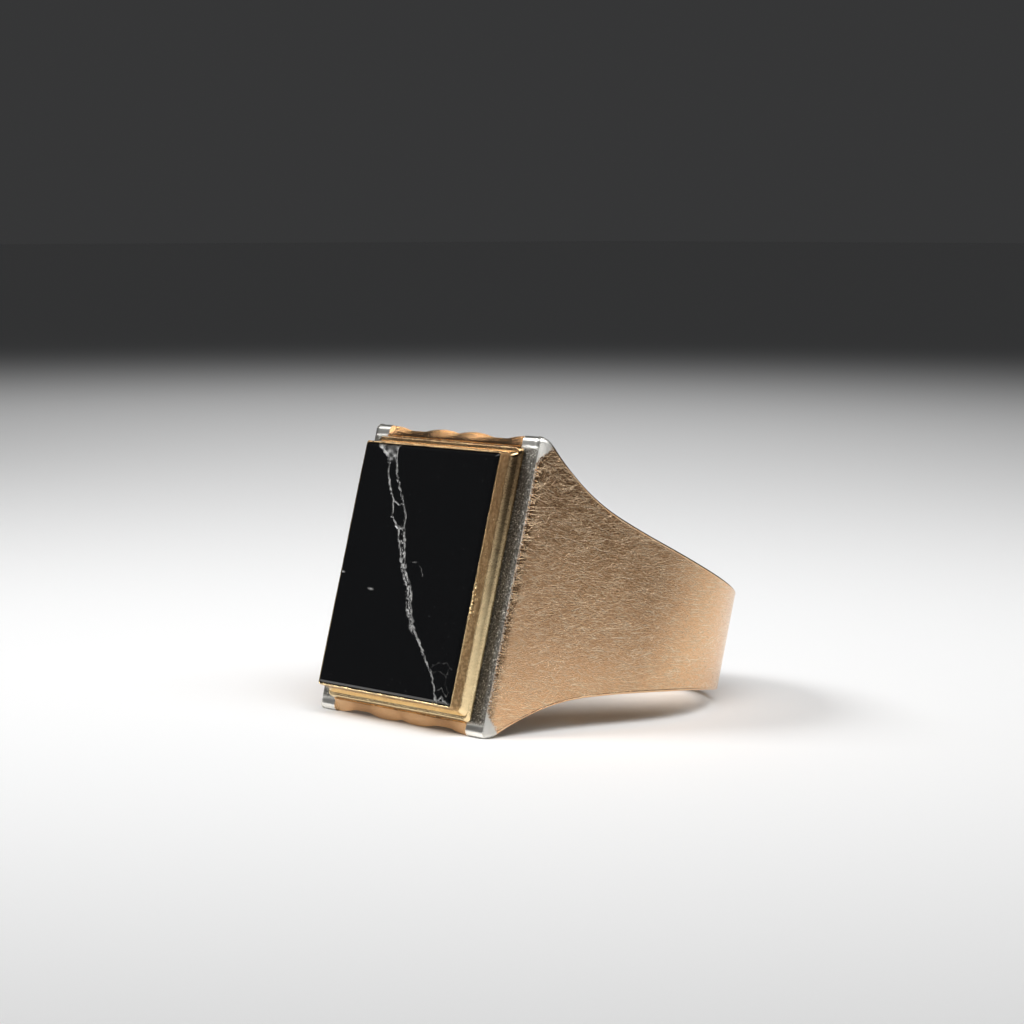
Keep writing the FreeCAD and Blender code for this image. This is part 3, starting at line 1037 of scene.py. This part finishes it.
@dataclass
class Frame:
    """A rectangular frame that is swept from a list of loops."""

    steps: Sequence[Step]
    along_side: int = 150
    along_end: int = 118
    in_corner: int = 6
    rubbed: float = 0.12

    def loop(self, step: Step) -> tuple[np.ndarray, np.ndarray]:
        """Points of one loop and the way out from each, in the plane of the head.

        Args:
            step: the loop's sizes.

        Returns:
            The points and the outward directions.
        """
        width, length = step.half_width - step.corner, step.half_length - step.corner
        ends = [(1, 1), (-1, 1), (-1, -1), (1, -1)]
        points, facing = [], []
        for number, (right, up) in enumerate(ends):
            turn = np.linspace(0, math.pi / 2, self.in_corner) + number * math.pi / 2
            out = np.stack((np.cos(turn), np.sin(turn)), -1)
            centre = np.array((right * width, up * length))
            points.append(centre + step.corner * out)
            facing.append(out)
            following = np.array(ends[(number + 1) % len(ends)]) * (width, length)
            count = self.along_end if number % 2 == 0 else self.along_side
            part = np.linspace(0, 1, count + 2)[1:-1, None]
            last = points[-1][-1]
            first = following + step.corner * out[-1]
            points.append(last * (1 - part) + first * part)
            facing.append(np.repeat(out[-1:], count, 0))
        return np.concatenate(points), np.concatenate(facing)

    def piece(self, maker: Maker, name: str, seed: int, roughness: float) -> bpy.types.Object:
        """Sweep the loops into a closed frame.

        Args:
            maker: makes the piece.
            name: its name.
            seed: of the unevenness.
            roughness: how uneven a fully filed loop is, in millimetres.

        Returns:
            The frame.
        """
        noise = Grain(seed)
        rows, filed = [], []
        for step in self.steps:
            flat, out = self.loop(step)
            gaps = np.linalg.norm(np.diff(flat, axis=0), axis=1)
            travel = np.concatenate(((0.0,), np.cumsum(gaps)))
            rough = (noise.at(travel, step.rise, 0.35) * 0.5
                     + noise.at(travel, step.rise * 3, 0.13) * 0.4
                     + noise.at(travel, step.rise, 1.7) * 0.5)
            flat = flat + out * (rough * roughness * (self.rubbed + step.filed))[:, None]
            rows.append(np.stack((flat[:, 0], np.full(len(flat), -step.rise), flat[:, 1]), -1))
            filed.append(np.full(len(flat), step.filed))
        points = np.concatenate(rows)
        faces = band_faces(len(rows), len(rows[0]), True, True)
        return maker.piece(name, points, faces, {"filed": np.concatenate(filed)})


@dataclass
class Setting:
    """The base plate and the bezel wall that stands on it.

    Pairs of half sizes, the play and the foot are across and along the finger; the rises of the
    plate and the wall's thicknesses are low and high.
    """

    half_plate: Pair = (6.87, 8.75)
    plate_rise: Pair = (12.63, 13.01)
    window_margin: float = 1.9
    plate_round: float = 0.07
    plate_slope: float = 0.09
    plate_corner: float = 0.35
    half_stone: Pair = (6.4, 8.0)
    play: float = 0.02
    foot: Pair = (0.38, 0.42)
    cove_top: float = 13.53
    wall: Pair = (0.18, 0.12)
    rim_rise: float = 14.24

    def plate(self) -> Frame:
        """The plate: a rounded edge outside and an open window inside."""
        width, length = self.half_plate
        low, high = self.plate_rise
        inner = (width - self.window_margin, length - self.window_margin)
        steps = []
        for turn in np.linspace(-math.pi / 2, 0, 5):
            inset = self.plate_round * (1 - math.cos(turn))
            steps.append(Step(width - inset, length - inset, self.plate_corner,
                              low + self.plate_round * (1 + math.sin(turn))))
        for part in np.linspace(0.15, 1, 8):
            inset = self.plate_slope * part**1.5
            steps.append(Step(width - inset, length - inset, self.plate_corner,
                              low + self.plate_round + (high - low - self.plate_round) * part))
        for inset in (0.15, 0.3, 0.6):
            steps.append(Step(width - inset, length - inset, 0.3, high, 0.35))
        steps.append(Step(inner[0] + 0.05, inner[1] + 0.05, 0.3, high, 0.4))
        steps.append(Step(*inner, 0.25, high - 0.05, 0.4))
        steps.append(Step(*inner, 0.25, low + 0.05, 0.4))
        steps.append(Step(inner[0] + 0.05, inner[1] + 0.05, 0.3, low, 0.3))
        return Frame(steps)

    def bezel(self) -> Frame:
        """The wall: a coved foot, a steep filed face and a thin rim turned in over the stone."""
        base = self.plate_rise[1]
        width, length = self.half_stone
        steps = [Step(width + self.play, length + self.play, 0.1, base),
                 Step(width + self.foot[0], length + self.foot[1], 0.3, base)]
        wall = self.wall[0]
        for part in np.linspace(0.05, 1, 12):
            spread = (1 - part) ** 1.25
            steps.append(Step(width + wall + (self.foot[0] - wall) * spread,
                              length + wall + (self.foot[1] - wall) * spread, 0.26,
                              base + (self.cove_top - base) * part, 0.6 * part**4))
        top = self.rim_rise - 0.06
        for part in np.linspace(0, 1, 14)[1:]:
            thick = wall + (self.wall[1] - wall) * part
            steps.append(Step(width + thick, length + thick, 0.2,
                              self.cove_top + (top - self.cove_top) * part, 1.0))
        rim = self.wall[1]
        steps += [Step(width + rim - 0.02, length + rim - 0.02, 0.18, self.rim_rise - 0.02, 0.6),
                  Step(width + rim - 0.06, length + rim - 0.06, 0.15, self.rim_rise, 0.3),
                  Step(width + self.play, length + self.play, 0.1, self.rim_rise - 0.02, 0.2)]
        return Frame(steps)

    def build(self, maker: Maker) -> None:
        """Make both frames."""
        plate = self.plate().piece(maker, "head_plate", 5, 0.03)
        maker.settle(plate, "yellow_gold",
                     HeadGold().material(maker.space, "plate_gold", 0.1), ["base_plate"])
        wall = self.bezel().piece(maker, "stone_bezel", 6, 0.035)
        maker.settle(wall, "yellow_gold",
                     HeadGold().material(maker.space, "bezel_gold", 0.0), ["bezel_wall"])


@dataclass(frozen=True)
class Fracture:
    """A line of fracture on the tablet's face, from place to place in millimetres."""

    route: Sequence[Pair]
    width: float
    pale: float
    depth: float

    def nearness(self, across: np.ndarray, along: np.ndarray) -> np.ndarray:
        """1 on the line, falling to 0 at its width."""
        best = np.full(across.shape, np.inf)
        for (x0, z0), (x1, z1) in zip(self.route, self.route[1:]):
            run = (x1 - x0) ** 2 + (z1 - z0) ** 2
            part = np.clip(((across - x0) * (x1 - x0) + (along - z0) * (z1 - z0)) / run, 0, 1)
            gap = np.hypot(across - x0 - part * (x1 - x0), along - z0 - part * (z1 - z0))
            best = np.minimum(best, gap)
        return 1 - ease(0.25 * self.width, self.width, best)


@dataclass
class Tablet:
    """The onyx tablet, broken in two from edge to edge."""

    half_width: float = 6.4
    half_length: float = 8.0
    back_rise: float = 13.11
    thickness: float = 1.25
    bevel: float = 0.2
    gap: float = 0.012
    corner: float = 0.2
    deepest_chip: float = 0.15
    rim: Sequence[float] = (0, 0.02, 0.05, 0.09, 0.14, 0.2, 0.25)
    specks: Sequence[Pair] = ((-3.12, -1.47), (1.17, -6.4), (-6.1, -0.63), (0.22, 6.97))
    parting: Sequence[Pair] = (
        (-3.15, 8.1), (-3.1, 7.3), (-2.7, 6.0), (-2.1, 5.0), (-1.65, 4.4), (-1.15, 3.5),
        (-0.95, 2.5), (-0.1, 0.0), (0.8, -1.2), (1.2, -2.5), (1.85, -3.7), (2.5, -4.3),
        (3.4, -5.3), (4.3, -6.2), (4.7, -6.9), (5.15, -7.8), (5.25, -8.1))

    def fractures(self) -> list[Fracture]:
        """The lines beside the parting, and the flaked bottom corner."""
        left = ((-3.75, 6.8), (-3.65, 6.1), (-3.0, 5.0), (-2.6, 4.35), (-2.4, 3.4), (-1.7, 2.65),
                (-1.5, 2.4), (-0.4, 0.0), (0.55, -1.25), (0.95, -2.5), (1.65, -3.75))
        return [
            Fracture(self.parting, 0.085, 0.85, 0.07),
            Fracture(left, 0.075, 0.75, 0.05),
            Fracture(((-5.1, 8.05), (-4.6, 7.65), (-4.0, 7.25), (-3.75, 6.8)), 0.11, 0.8, 0.07),
            Fracture(((-2.6, 4.35), (-2.1, 4.1), (-1.6, 4.15)), 0.06, 0.6, 0.03),
            Fracture(((-1.75, 2.7), (-1.3, 2.55), (-0.9, 2.7)), 0.07, 0.7, 0.04),
            Fracture(((0.5, 0.5), (1.0, 0.55), (1.45, 0.2), (1.6, -0.2)), 0.05, 0.22, 0.0),
            Fracture(((4.2, -5.8), (4.8, -5.5), (5.5, -5.4), (6.0, -5.7)), 0.05, 0.06, 0.003),
            Fracture(((4.4, -6.2), (4.9, -6.0), (5.6, -6.2), (5.9, -6.9)), 0.045, 0.07, 0.003),
            Fracture(((5.9, -5.6), (5.7, -6.5), (6.1, -7.2), (6.2, -7.8)), 0.045, 0.07, 0.003),
            Fracture(((4.9, -7.2), (5.5, -7.0), (6.0, -7.4)), 0.05, 0.2, 0.008),
            Fracture(((5.2, -7.8), (5.7, -7.5), (6.1, -7.9)), 0.07, 0.45, 0.03),
        ]

    def parting_line(self, along: np.ndarray) -> np.ndarray:
        """Where the break would run at each height if it weren't ragged."""
        places = np.array(self.parting)[::-1]
        return np.interp(along, places[:, 1], places[:, 0])

    def parting_x(self, along: np.ndarray) -> np.ndarray:
        """Where the break runs at each height of the face."""
        jag = Grain(21)
        ragged = jag.at(along, 0.3, 0.23) * 0.05 + jag.at(along, 7, 0.09) * 0.03
        return self.parting_line(along) + ragged

    def damage(self, across: np.ndarray, along: np.ndarray) -> tuple[np.ndarray, np.ndarray]:
        """How broken the face is.

        Args:
            across: X places on the face, in millimetres.
            along: Z places on the face, in millimetres.

        Returns:
            How pale each place is, 0 to 1, and how far it is chipped away, in millimetres.
        """
        noise = Grain(31)
        warped = (across + 0.085 * noise.at(across, along, 0.21)
                  + 0.04 * noise.at(along, across, 0.08))
        raised = along + 0.07 * noise.at(along + 9, across, 0.19)
        pale, chipped = np.zeros(across.shape), np.zeros(across.shape)
        for line in self.fractures():
            near = line.nearness(warped, raised)
            broken = near * np.clip(0.62 + 0.75 * noise.at(across, along + 5, 0.24), 0.08, 1.2)
            pale = np.maximum(pale, line.pale * broken)
            chipped = np.maximum(chipped, line.depth * near)
        middle = self.parting_line(along)
        in_band = ((1 - ease(0.05, 0.36, abs(warped - middle + 0.16)))
                   * ease(-4.2, -3.2, along) * (1 - ease(2.2, 2.9, along)))
        flakes = np.clip(noise.at(across, along * 0.8, 0.09) * 2.2 - 0.3, 0, 1)
        pale = np.maximum(pale, in_band * flakes)
        chipped = np.maximum(chipped, 0.04 * in_band * flakes)
        for place in self.specks:
            near = 1 - ease(0.03, 0.10, np.hypot(warped - place[0], raised - place[1]))
            pale = np.maximum(pale, 0.55 * near)
            chipped = np.maximum(chipped, 0.02 * near)
        funnel_edge = np.interp(along, (6.7, 7.2, 8.0), (-3.75, -4.0, -5.0))
        funnel = (ease(0, 0.15, warped - funnel_edge)
                  * (1 - ease(-0.12, 0.0, warped - middle)) * ease(6.7, 7.3, along))
        facets = 0.5 + 0.5 * noise.at(across + 0.4 * along, along, 0.26)
        pale = np.maximum(pale, funnel * (0.05 + 0.55 * facets**3))
        chipped = np.maximum(chipped, funnel * (0.05 + 0.08 * facets))
        return np.clip(pale, 0, 1), chipped

    def rounded(self, across: np.ndarray, along: np.ndarray) -> tuple[np.ndarray, np.ndarray]:
        """Draw the places near a corner of the face in, so that the corner is round.

        Args:
            across: X places on the face, in millimetres.
            along: Z places on the face, in millimetres.

        Returns:
            The same places, moved.
        """
        over = np.clip((abs(across) - self.half_width) / self.corner + 1, 0, 1)
        up = np.clip((abs(along) - self.half_length) / self.corner + 1, 0, 1)
        drawn = over * np.sqrt(1 - up * up / 2) - over
        lowered = up * np.sqrt(1 - over * over / 2) - up
        return (across + np.sign(across) * drawn * self.corner,
                along + np.sign(along) * lowered * self.corner)

    def fragment(self, maker: Maker, name: str, side: Side) -> bpy.types.Object:
        """Make one half: a polished face, a bevelled edge and a ragged break.

        Args:
            maker: makes the piece.
            name: its name.
            side: which half.

        Returns:
            The fragment.
        """
        rim = np.array(self.rim)
        middle_z = np.linspace(-self.half_length + rim[-1], self.half_length - rim[-1], 330)
        heights = np.concatenate((-self.half_length + rim[:-1], middle_z,
                                  (self.half_length - rim[:-1])[::-1]))
        break_x = self.parting_x(heights) + side.value * self.gap
        edge_x = side.value * self.half_width
        width = abs(break_x - edge_x)
        zone = np.minimum(1.9, 0.75 * (width - 0.3))
        near = np.linspace(0, 1, 52) ** 1.1
        columns = [break_x + side.value * zone * part for part in near]
        for part in np.linspace(0, 1, 16)[1:]:
            columns.append(break_x + side.value * (zone + (width - zone - rim[-1]) * part))
        columns += [np.full(len(heights), edge_x - side.value * inset) for inset in rim[-2::-1]]
        across = np.stack(columns, -1)
        along = np.repeat(heights[:, None], across.shape[1], 1)
        from_edge = np.minimum(self.half_width - abs(across), self.half_length - abs(along))
        drop = np.clip(self.bevel - from_edge, 0, self.bevel)
        pale, chipped = self.damage(across, along)
        across, along = self.rounded(across, along)
        front = self.back_rise + self.thickness
        rises = front - drop - np.minimum(chipped, self.deepest_chip)
        rows, across_count = across.shape
        face_points = np.stack((across, -rises, along), -1).reshape(-1, 3)
        faces = band_faces(rows, across_count, False)
        first = np.arange(across_count)
        right = np.arange(1, rows) * across_count + across_count - 1
        last = (rows - 1) * across_count + first[-2::-1]
        left = np.arange(rows - 2, 0, -1) * across_count
        border = np.concatenate((first, right, last, left))
        back_points = face_points[border].copy()
        back_points[:, 1] = -self.back_rise
        start, count = len(face_points), len(border)
        for number in range(count):
            after = (number + 1) % count
            faces.append((border[number], border[after], start + after, start + number))
        faces.append(tuple(range(start, start + count)))
        on_break = (border % across_count == 0).astype(float)
        marks = {"fracture": np.concatenate((pale.ravel(), on_break))}
        return maker.piece(name, np.concatenate((face_points, back_points)), faces, marks)

    def build(self, maker: Maker) -> None:
        """Make both fragments of the tablet."""
        stone = Onyx().material(maker.space)
        for side, name, node in ((Side.LEFT, "tablet_left", "onyx_left"),
                                 (Side.RIGHT, "tablet_right", "onyx_right")):
            maker.settle(self.fragment(maker, name, side), "onyx", stone, [node])


@dataclass
class Gallery:
    """A thin scalloped sheet that flares from the plate to a free edge at each end."""

    width: float = 12.86
    rise: float = 12.63
    root: float = 8.7
    tip: float = 9.46
    depth: float = 0.55
    sheet: float = 0.14
    lobe_radius: float = 6.5
    lobe_height: float = 0.24
    lobe_place: float = 1.5
    flute: float = 0.015
    across_count: int = 201
    level_count: int = 15
    same_place: float = 0.0005

    def recipe(self, material: bpy.types.Material) -> Recipe:
        """The tree that presses the scallops into a sheet."""
        tree = Recipe("scalloped_gallery")
        width, root, tip = tree.size("Width"), tree.size("Root"), tree.size("Tip")
        rise, depth, sheet = tree.size("Rise"), tree.size("Depth"), tree.size("Sheet")
        radius, height = tree.size("Lobe Radius"), tree.size("Lobe Height")
        place, flute, end = tree.size("Lobe Place"), tree.size("Flute"), tree.size("End")
        grid = tree.node("GeometryNodeMeshGrid", None,
                         {"Size X": width, "Size Y": 1.0, "Vertices X": self.across_count,
                          "Vertices Y": self.level_count})
        across, level, _ = tree.split(tree.wire("GeometryNodeInputPosition"))
        level = level + 0.5

        def lobe(centre: Wire) -> Wire:
            away = abs(across) - centre
            return (radius * radius - away * away).most(0.0).math("SQRT") - (radius - height)

        lobes = lobe(place).most(lobe(width * 0.5)).most(0.0)
        reach = tip - height + lobes
        swell = (level * math.pi).math("SINE") * (lobes / height) * flute
        along = root + (reach - root) * (level ** 1.25) + swell * 0.6
        lift = rise - depth * (level ** 0.85) + swell
        shape = tree.join(across, lift * -1.0, along * end)
        sheet_face = tree.wire("GeometryNodeSetPosition", None,
                               {"Geometry": Wire(tree, grid.outputs["Mesh"]), "Position": shape})
        back = tree.wire("GeometryNodeExtrudeMesh", {"mode": "FACES"},
                         {"Mesh": sheet_face, "Offset Scale": sheet * end, "Individual": False})
        front = tree.wire("GeometryNodeFlipFaces", None, {"Mesh": sheet_face})
        both = tree.node("GeometryNodeJoinGeometry")
        for part in (back, front):
            tree.tree.links.new(part.socket, both.inputs[0])
        closed = tree.wire("GeometryNodeMergeByDistance", None,
                           {"Geometry": Wire(tree, both.outputs[0]),
                            "Distance": self.same_place})
        tree.deliver(closed, material)
        return tree

    def build(self, maker: Maker) -> None:
        """Make the galleries of both ends."""
        # The gallery's dark brown serves both its grime and the painted shade towards the upper
        # end.
        reddish = HeadGold(colour=(0.90, 0.60, 0.34, 1), deep=(0.66, 0.36, 0.17, 1),
                           grime_and_shade=(0.55, 0.29, 0.12, 1))
        gold = reddish.material(maker.space, "gallery_gold", 0.3)
        tree = self.recipe(gold)
        sizes = {"Width": self.width, "Root": self.root, "Tip": self.tip, "Rise": self.rise,
                 "Depth": self.depth, "Sheet": self.sheet, "Lobe Radius": self.lobe_radius,
                 "Lobe Height": self.lobe_height, "Lobe Place": self.lobe_place,
                 "Flute": self.flute}
        for end, node in ((End.UPPER, "upper_gallery"), (End.LOWER, "lower_gallery")):
            made = tree.make(f"{node}_pressed", maker, {**sizes, "End": end.value})
            maker.settle(made, "yellow_gold", gold, [node])


@dataclass(frozen=True)
class Grains:
    """Small lumps of metal scattered along a straight line."""

    name: str
    start: tuple[float, float, float]
    stop: tuple[float, float, float]
    count: int
    grain: float
    scatter: float
    seed: int

    def recipe(self, material: bpy.types.Material) -> Recipe:
        """The tree that strews the lumps."""
        tree = Recipe(self.name)
        ends = [tree.join(*(tree.size(f"{end} {axis}") for axis in "XYZ"))
                for end in ("From", "To")]
        count, grain = tree.size("Count", True), tree.size("Grain")
        scatter, seed = tree.size("Scatter"), tree.size("Seed", True)
        line = tree.wire("GeometryNodeMeshLine", {"mode": "END_POINTS"},
                         {"Count": count, "Start Location": ends[0], "Offset": ends[1]})

        def chance(least: float, most: float, shift: int) -> Wire:
            spread = {"Min": (least,) * 3, "Max": (most,) * 3, "Seed": seed + float(shift)}
            return tree.wire("FunctionNodeRandomValue", {"data_type": "FLOAT_VECTOR"}, spread)

        def scaled(vector: Wire, factor: Wire) -> Wire:
            return tree.join(*(part * factor for part in tree.split(vector)))

        strewn = tree.wire("GeometryNodeSetPosition", None,
                           {"Geometry": line, "Offset": scaled(chance(-1, 1, 0), scatter)})
        lump = tree.wire("GeometryNodeMeshIcoSphere", None, {"Radius": 1.0, "Subdivisions": 1})
        placed = tree.wire("GeometryNodeInstanceOnPoints", None,
                           {"Points": strewn, "Instance": lump,
                            "Rotation": chance(0, math.tau, 1),
                            "Scale": scaled(chance(0.35, 1.25, 2), grain)})
        tree.deliver(placed, material)
        return tree

    def build(self, maker: Maker, material: bpy.types.Material, slot: str) -> None:
        """Make the lumps as one piece."""
        sizes = {f"From {axis}": place for axis, place in zip("XYZ", self.start)}
        sizes |= {f"To {axis}": place for axis, place in zip("XYZ", self.stop)}
        sizes |= {"Count": self.count, "Grain": self.grain, "Scatter": self.scatter,
                  "Seed": self.seed}
        maker.settle(self.recipe(material).make(self.name, maker, sizes), slot, material)


@dataclass
class RoughTrim:
    """The burrs and crumbs of the bezel's rim and the rough joint above each gallery."""

    burrs: Grains = Grains("rim_burrs", (6.52, -14.13, -2.5), (6.52, -14.13, -0.1),
                           26, 0.085, 0.08, 3)
    crumbs: Grains = Grains("rim_crumbs", (6.53, -13.95, -7.9), (6.53, -13.95, 7.9),
                            90, 0.04, 0.13, 8)
    joint_half_width: float = 6.2
    joint_rise: float = 12.72
    joint_along: float = 8.73
    solder: Filler = Filler("joint_solder", (0.62, 0.46, 0.26, 1), (0.20, 0.13, 0.07, 1),
                            1.0, 0.35)

    def build(self, maker: Maker) -> None:
        """Strew the grains."""
        gold = HeadGold().material(maker.space, "burr_gold", 0.0)
        solder = self.solder.material(maker.space)
        for grains in (self.burrs, self.crumbs):
            grains.build(maker, gold, "yellow_gold")
        for end, name in ((End.UPPER, "upper_joint"), (End.LOWER, "lower_joint")):
            along = end.value * self.joint_along
            start = (-self.joint_half_width, -self.joint_rise, along)
            stop = (self.joint_half_width, -self.joint_rise, along)
            Grains(name, start, stop, 170, 0.05, 0.035, 5).build(maker, solder, "solder")


# ---- carried-over nodes, table, light and camera --------------------------------------------


def dress_frame(nodes: dict[str, bpy.types.Object], space: RingSpace) -> None:
    """Give the CAD nodes that stay their own finishes.

    Args:
        nodes: the frame's nodes by name.
        space: the ring's space.
    """
    cement = Filler("setting_cement_dull", (0.42, 0.35, 0.26, 1), (0.16, 0.12, 0.08, 1),
                    0.0, 0.75)
    solder = Filler("seam_solder", (0.40, 0.36, 0.27, 1), (0.07, 0.06, 0.045, 1), 1.0, 0.45)
    seam = solder.material(space)
    chosen = {"setting_cement": cement.material(space), "solder_right": seam, "solder_left": seam}
    for name, material in chosen.items():
        nodes[name].data.materials.clear()
        nodes[name].data.materials.append(material)
        LOG.info("%s: kept from the frame", name)


@dataclass(frozen=True)
class SoftBox:
    """A square light with a grid.

    The place and the aim are distances towards the viewer, to the right and up, in metres. The
    power is in watts and the spread in degrees.
    """

    name: str
    place: tuple[float, float, float]
    aim: tuple[float, float, float]
    size: float
    power: float
    spread: float

    def build(self, viewer: Vector, right: Vector) -> None:
        """Hang the light.

        Args:
            viewer: the level direction towards the viewer.
            right: the level direction to the viewer's right.
        """
        up = Vector((0, 0, 1))
        start, goal = (viewer * x + right * y + up * z for x, y, z in (self.place, self.aim))
        lamp = bpy.data.lights.new(self.name, "AREA")
        lamp.shape, lamp.size, lamp.energy = "SQUARE", self.size, self.power
        lamp.spread = math.radians(self.spread)
        hung = bpy.data.objects.new(self.name, lamp)
        hung.location = start
        hung.rotation_euler = (goal - start).to_track_quat("-Z", "Y").to_euler()
        bpy.context.scene.collection.objects.link(hung)


@dataclass
class Studio:
    """A pale table in a dark room, soft lights above it, and the camera."""

    table_size: float = 8.0
    lamps: Sequence[SoftBox] = (
        SoftBox("front_box", (0.12, 0.0, 0.27), (-0.055, 0.0, 0.005), 0.24, 0.118, 62),
        SoftBox("left_box", (0.0, -0.22, 0.22), (-0.01, 0.01, 0.005), 0.11, 0.120, 84),
        SoftBox("right_box", (0.10, 0.12, 0.26), (-0.05, 0.0, 0.005), 0.2, 0.088, 72),
        SoftBox("far_box", (-0.27, -0.02, 0.32), (-0.27, -0.02, 0.0), 0.2, 0.088, 72))
    room: float = 0.037
    azimuth: float = 47.4
    height: float = 5.70
    distance: float = 0.190
    aim: tuple[float, float, float] = (-0.0012, -0.0014, 0.0127)
    lens: float = 101.0

    def build(self, space: RingSpace) -> None:
        """Set the scene."""
        mesh = bpy.data.meshes.new("table")
        half = self.table_size / 2
        mesh.from_pydata([(-half, -half, 0), (half, -half, 0), (half, half, 0), (-half, half, 0)],
                         [], [(0, 1, 2, 3)])
        table = bpy.data.objects.new("table", mesh)
        bpy.context.scene.collection.objects.link(table)
        table.data.materials.append(TableTop().material(space))
        turn = math.radians(self.azimuth)
        viewer = Vector((math.sin(turn), -math.cos(turn), 0))
        right = Vector((math.cos(turn), math.sin(turn), 0))
        for lamp in self.lamps:
            lamp.build(viewer, right)
        self.darken_room()
        self.place_camera()

    def darken_room(self) -> None:
        """Make the room round the table a plain dark grey."""
        world = bpy.data.worlds.new("dark_room")
        world.use_nodes = True
        world.node_tree.nodes["Background"].inputs["Color"].default_value = (
            self.room, self.room * 1.01, self.room * 1.03, 1)
        bpy.context.scene.world = world
        bpy.context.scene.view_settings.view_transform = "Standard"

    def place_camera(self) -> None:
        """Look down at the ring from the right of its head."""
        lens = bpy.data.cameras.new("camera")
        lens.lens, lens.sensor_width = self.lens, 36.0
        lens.clip_start, lens.clip_end = 0.01, 50.0
        camera = bpy.data.objects.new("camera", lens)
        turn, lift = math.radians(self.azimuth), math.radians(self.height)
        way = Vector((math.sin(turn) * math.cos(lift), -math.cos(turn) * math.cos(lift),
                      math.sin(lift)))
        camera.location = Vector(self.aim) + way * self.distance
        camera.rotation_euler = (-way).to_track_quat("-Z", "Y").to_euler()
        bpy.context.scene.collection.objects.link(camera)
        bpy.context.scene.camera = camera


def main() -> None:
    """Build the ring over its frame."""
    logging.basicConfig(level=logging.INFO, format="%(message)s")
    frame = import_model()
    space = RingSpace.from_record(frame["record"])
    maker = Maker(space)
    builders: list[Callable[[Maker], None]] = [
        Shank().build, Setting().build, Tablet().build, Gallery().build, RoughTrim().build]
    for build in builders:
        build(maker)
    dress_frame(frame["nodes"], space)
    Studio().build(space)


if __name__ == "__main__":
    main()
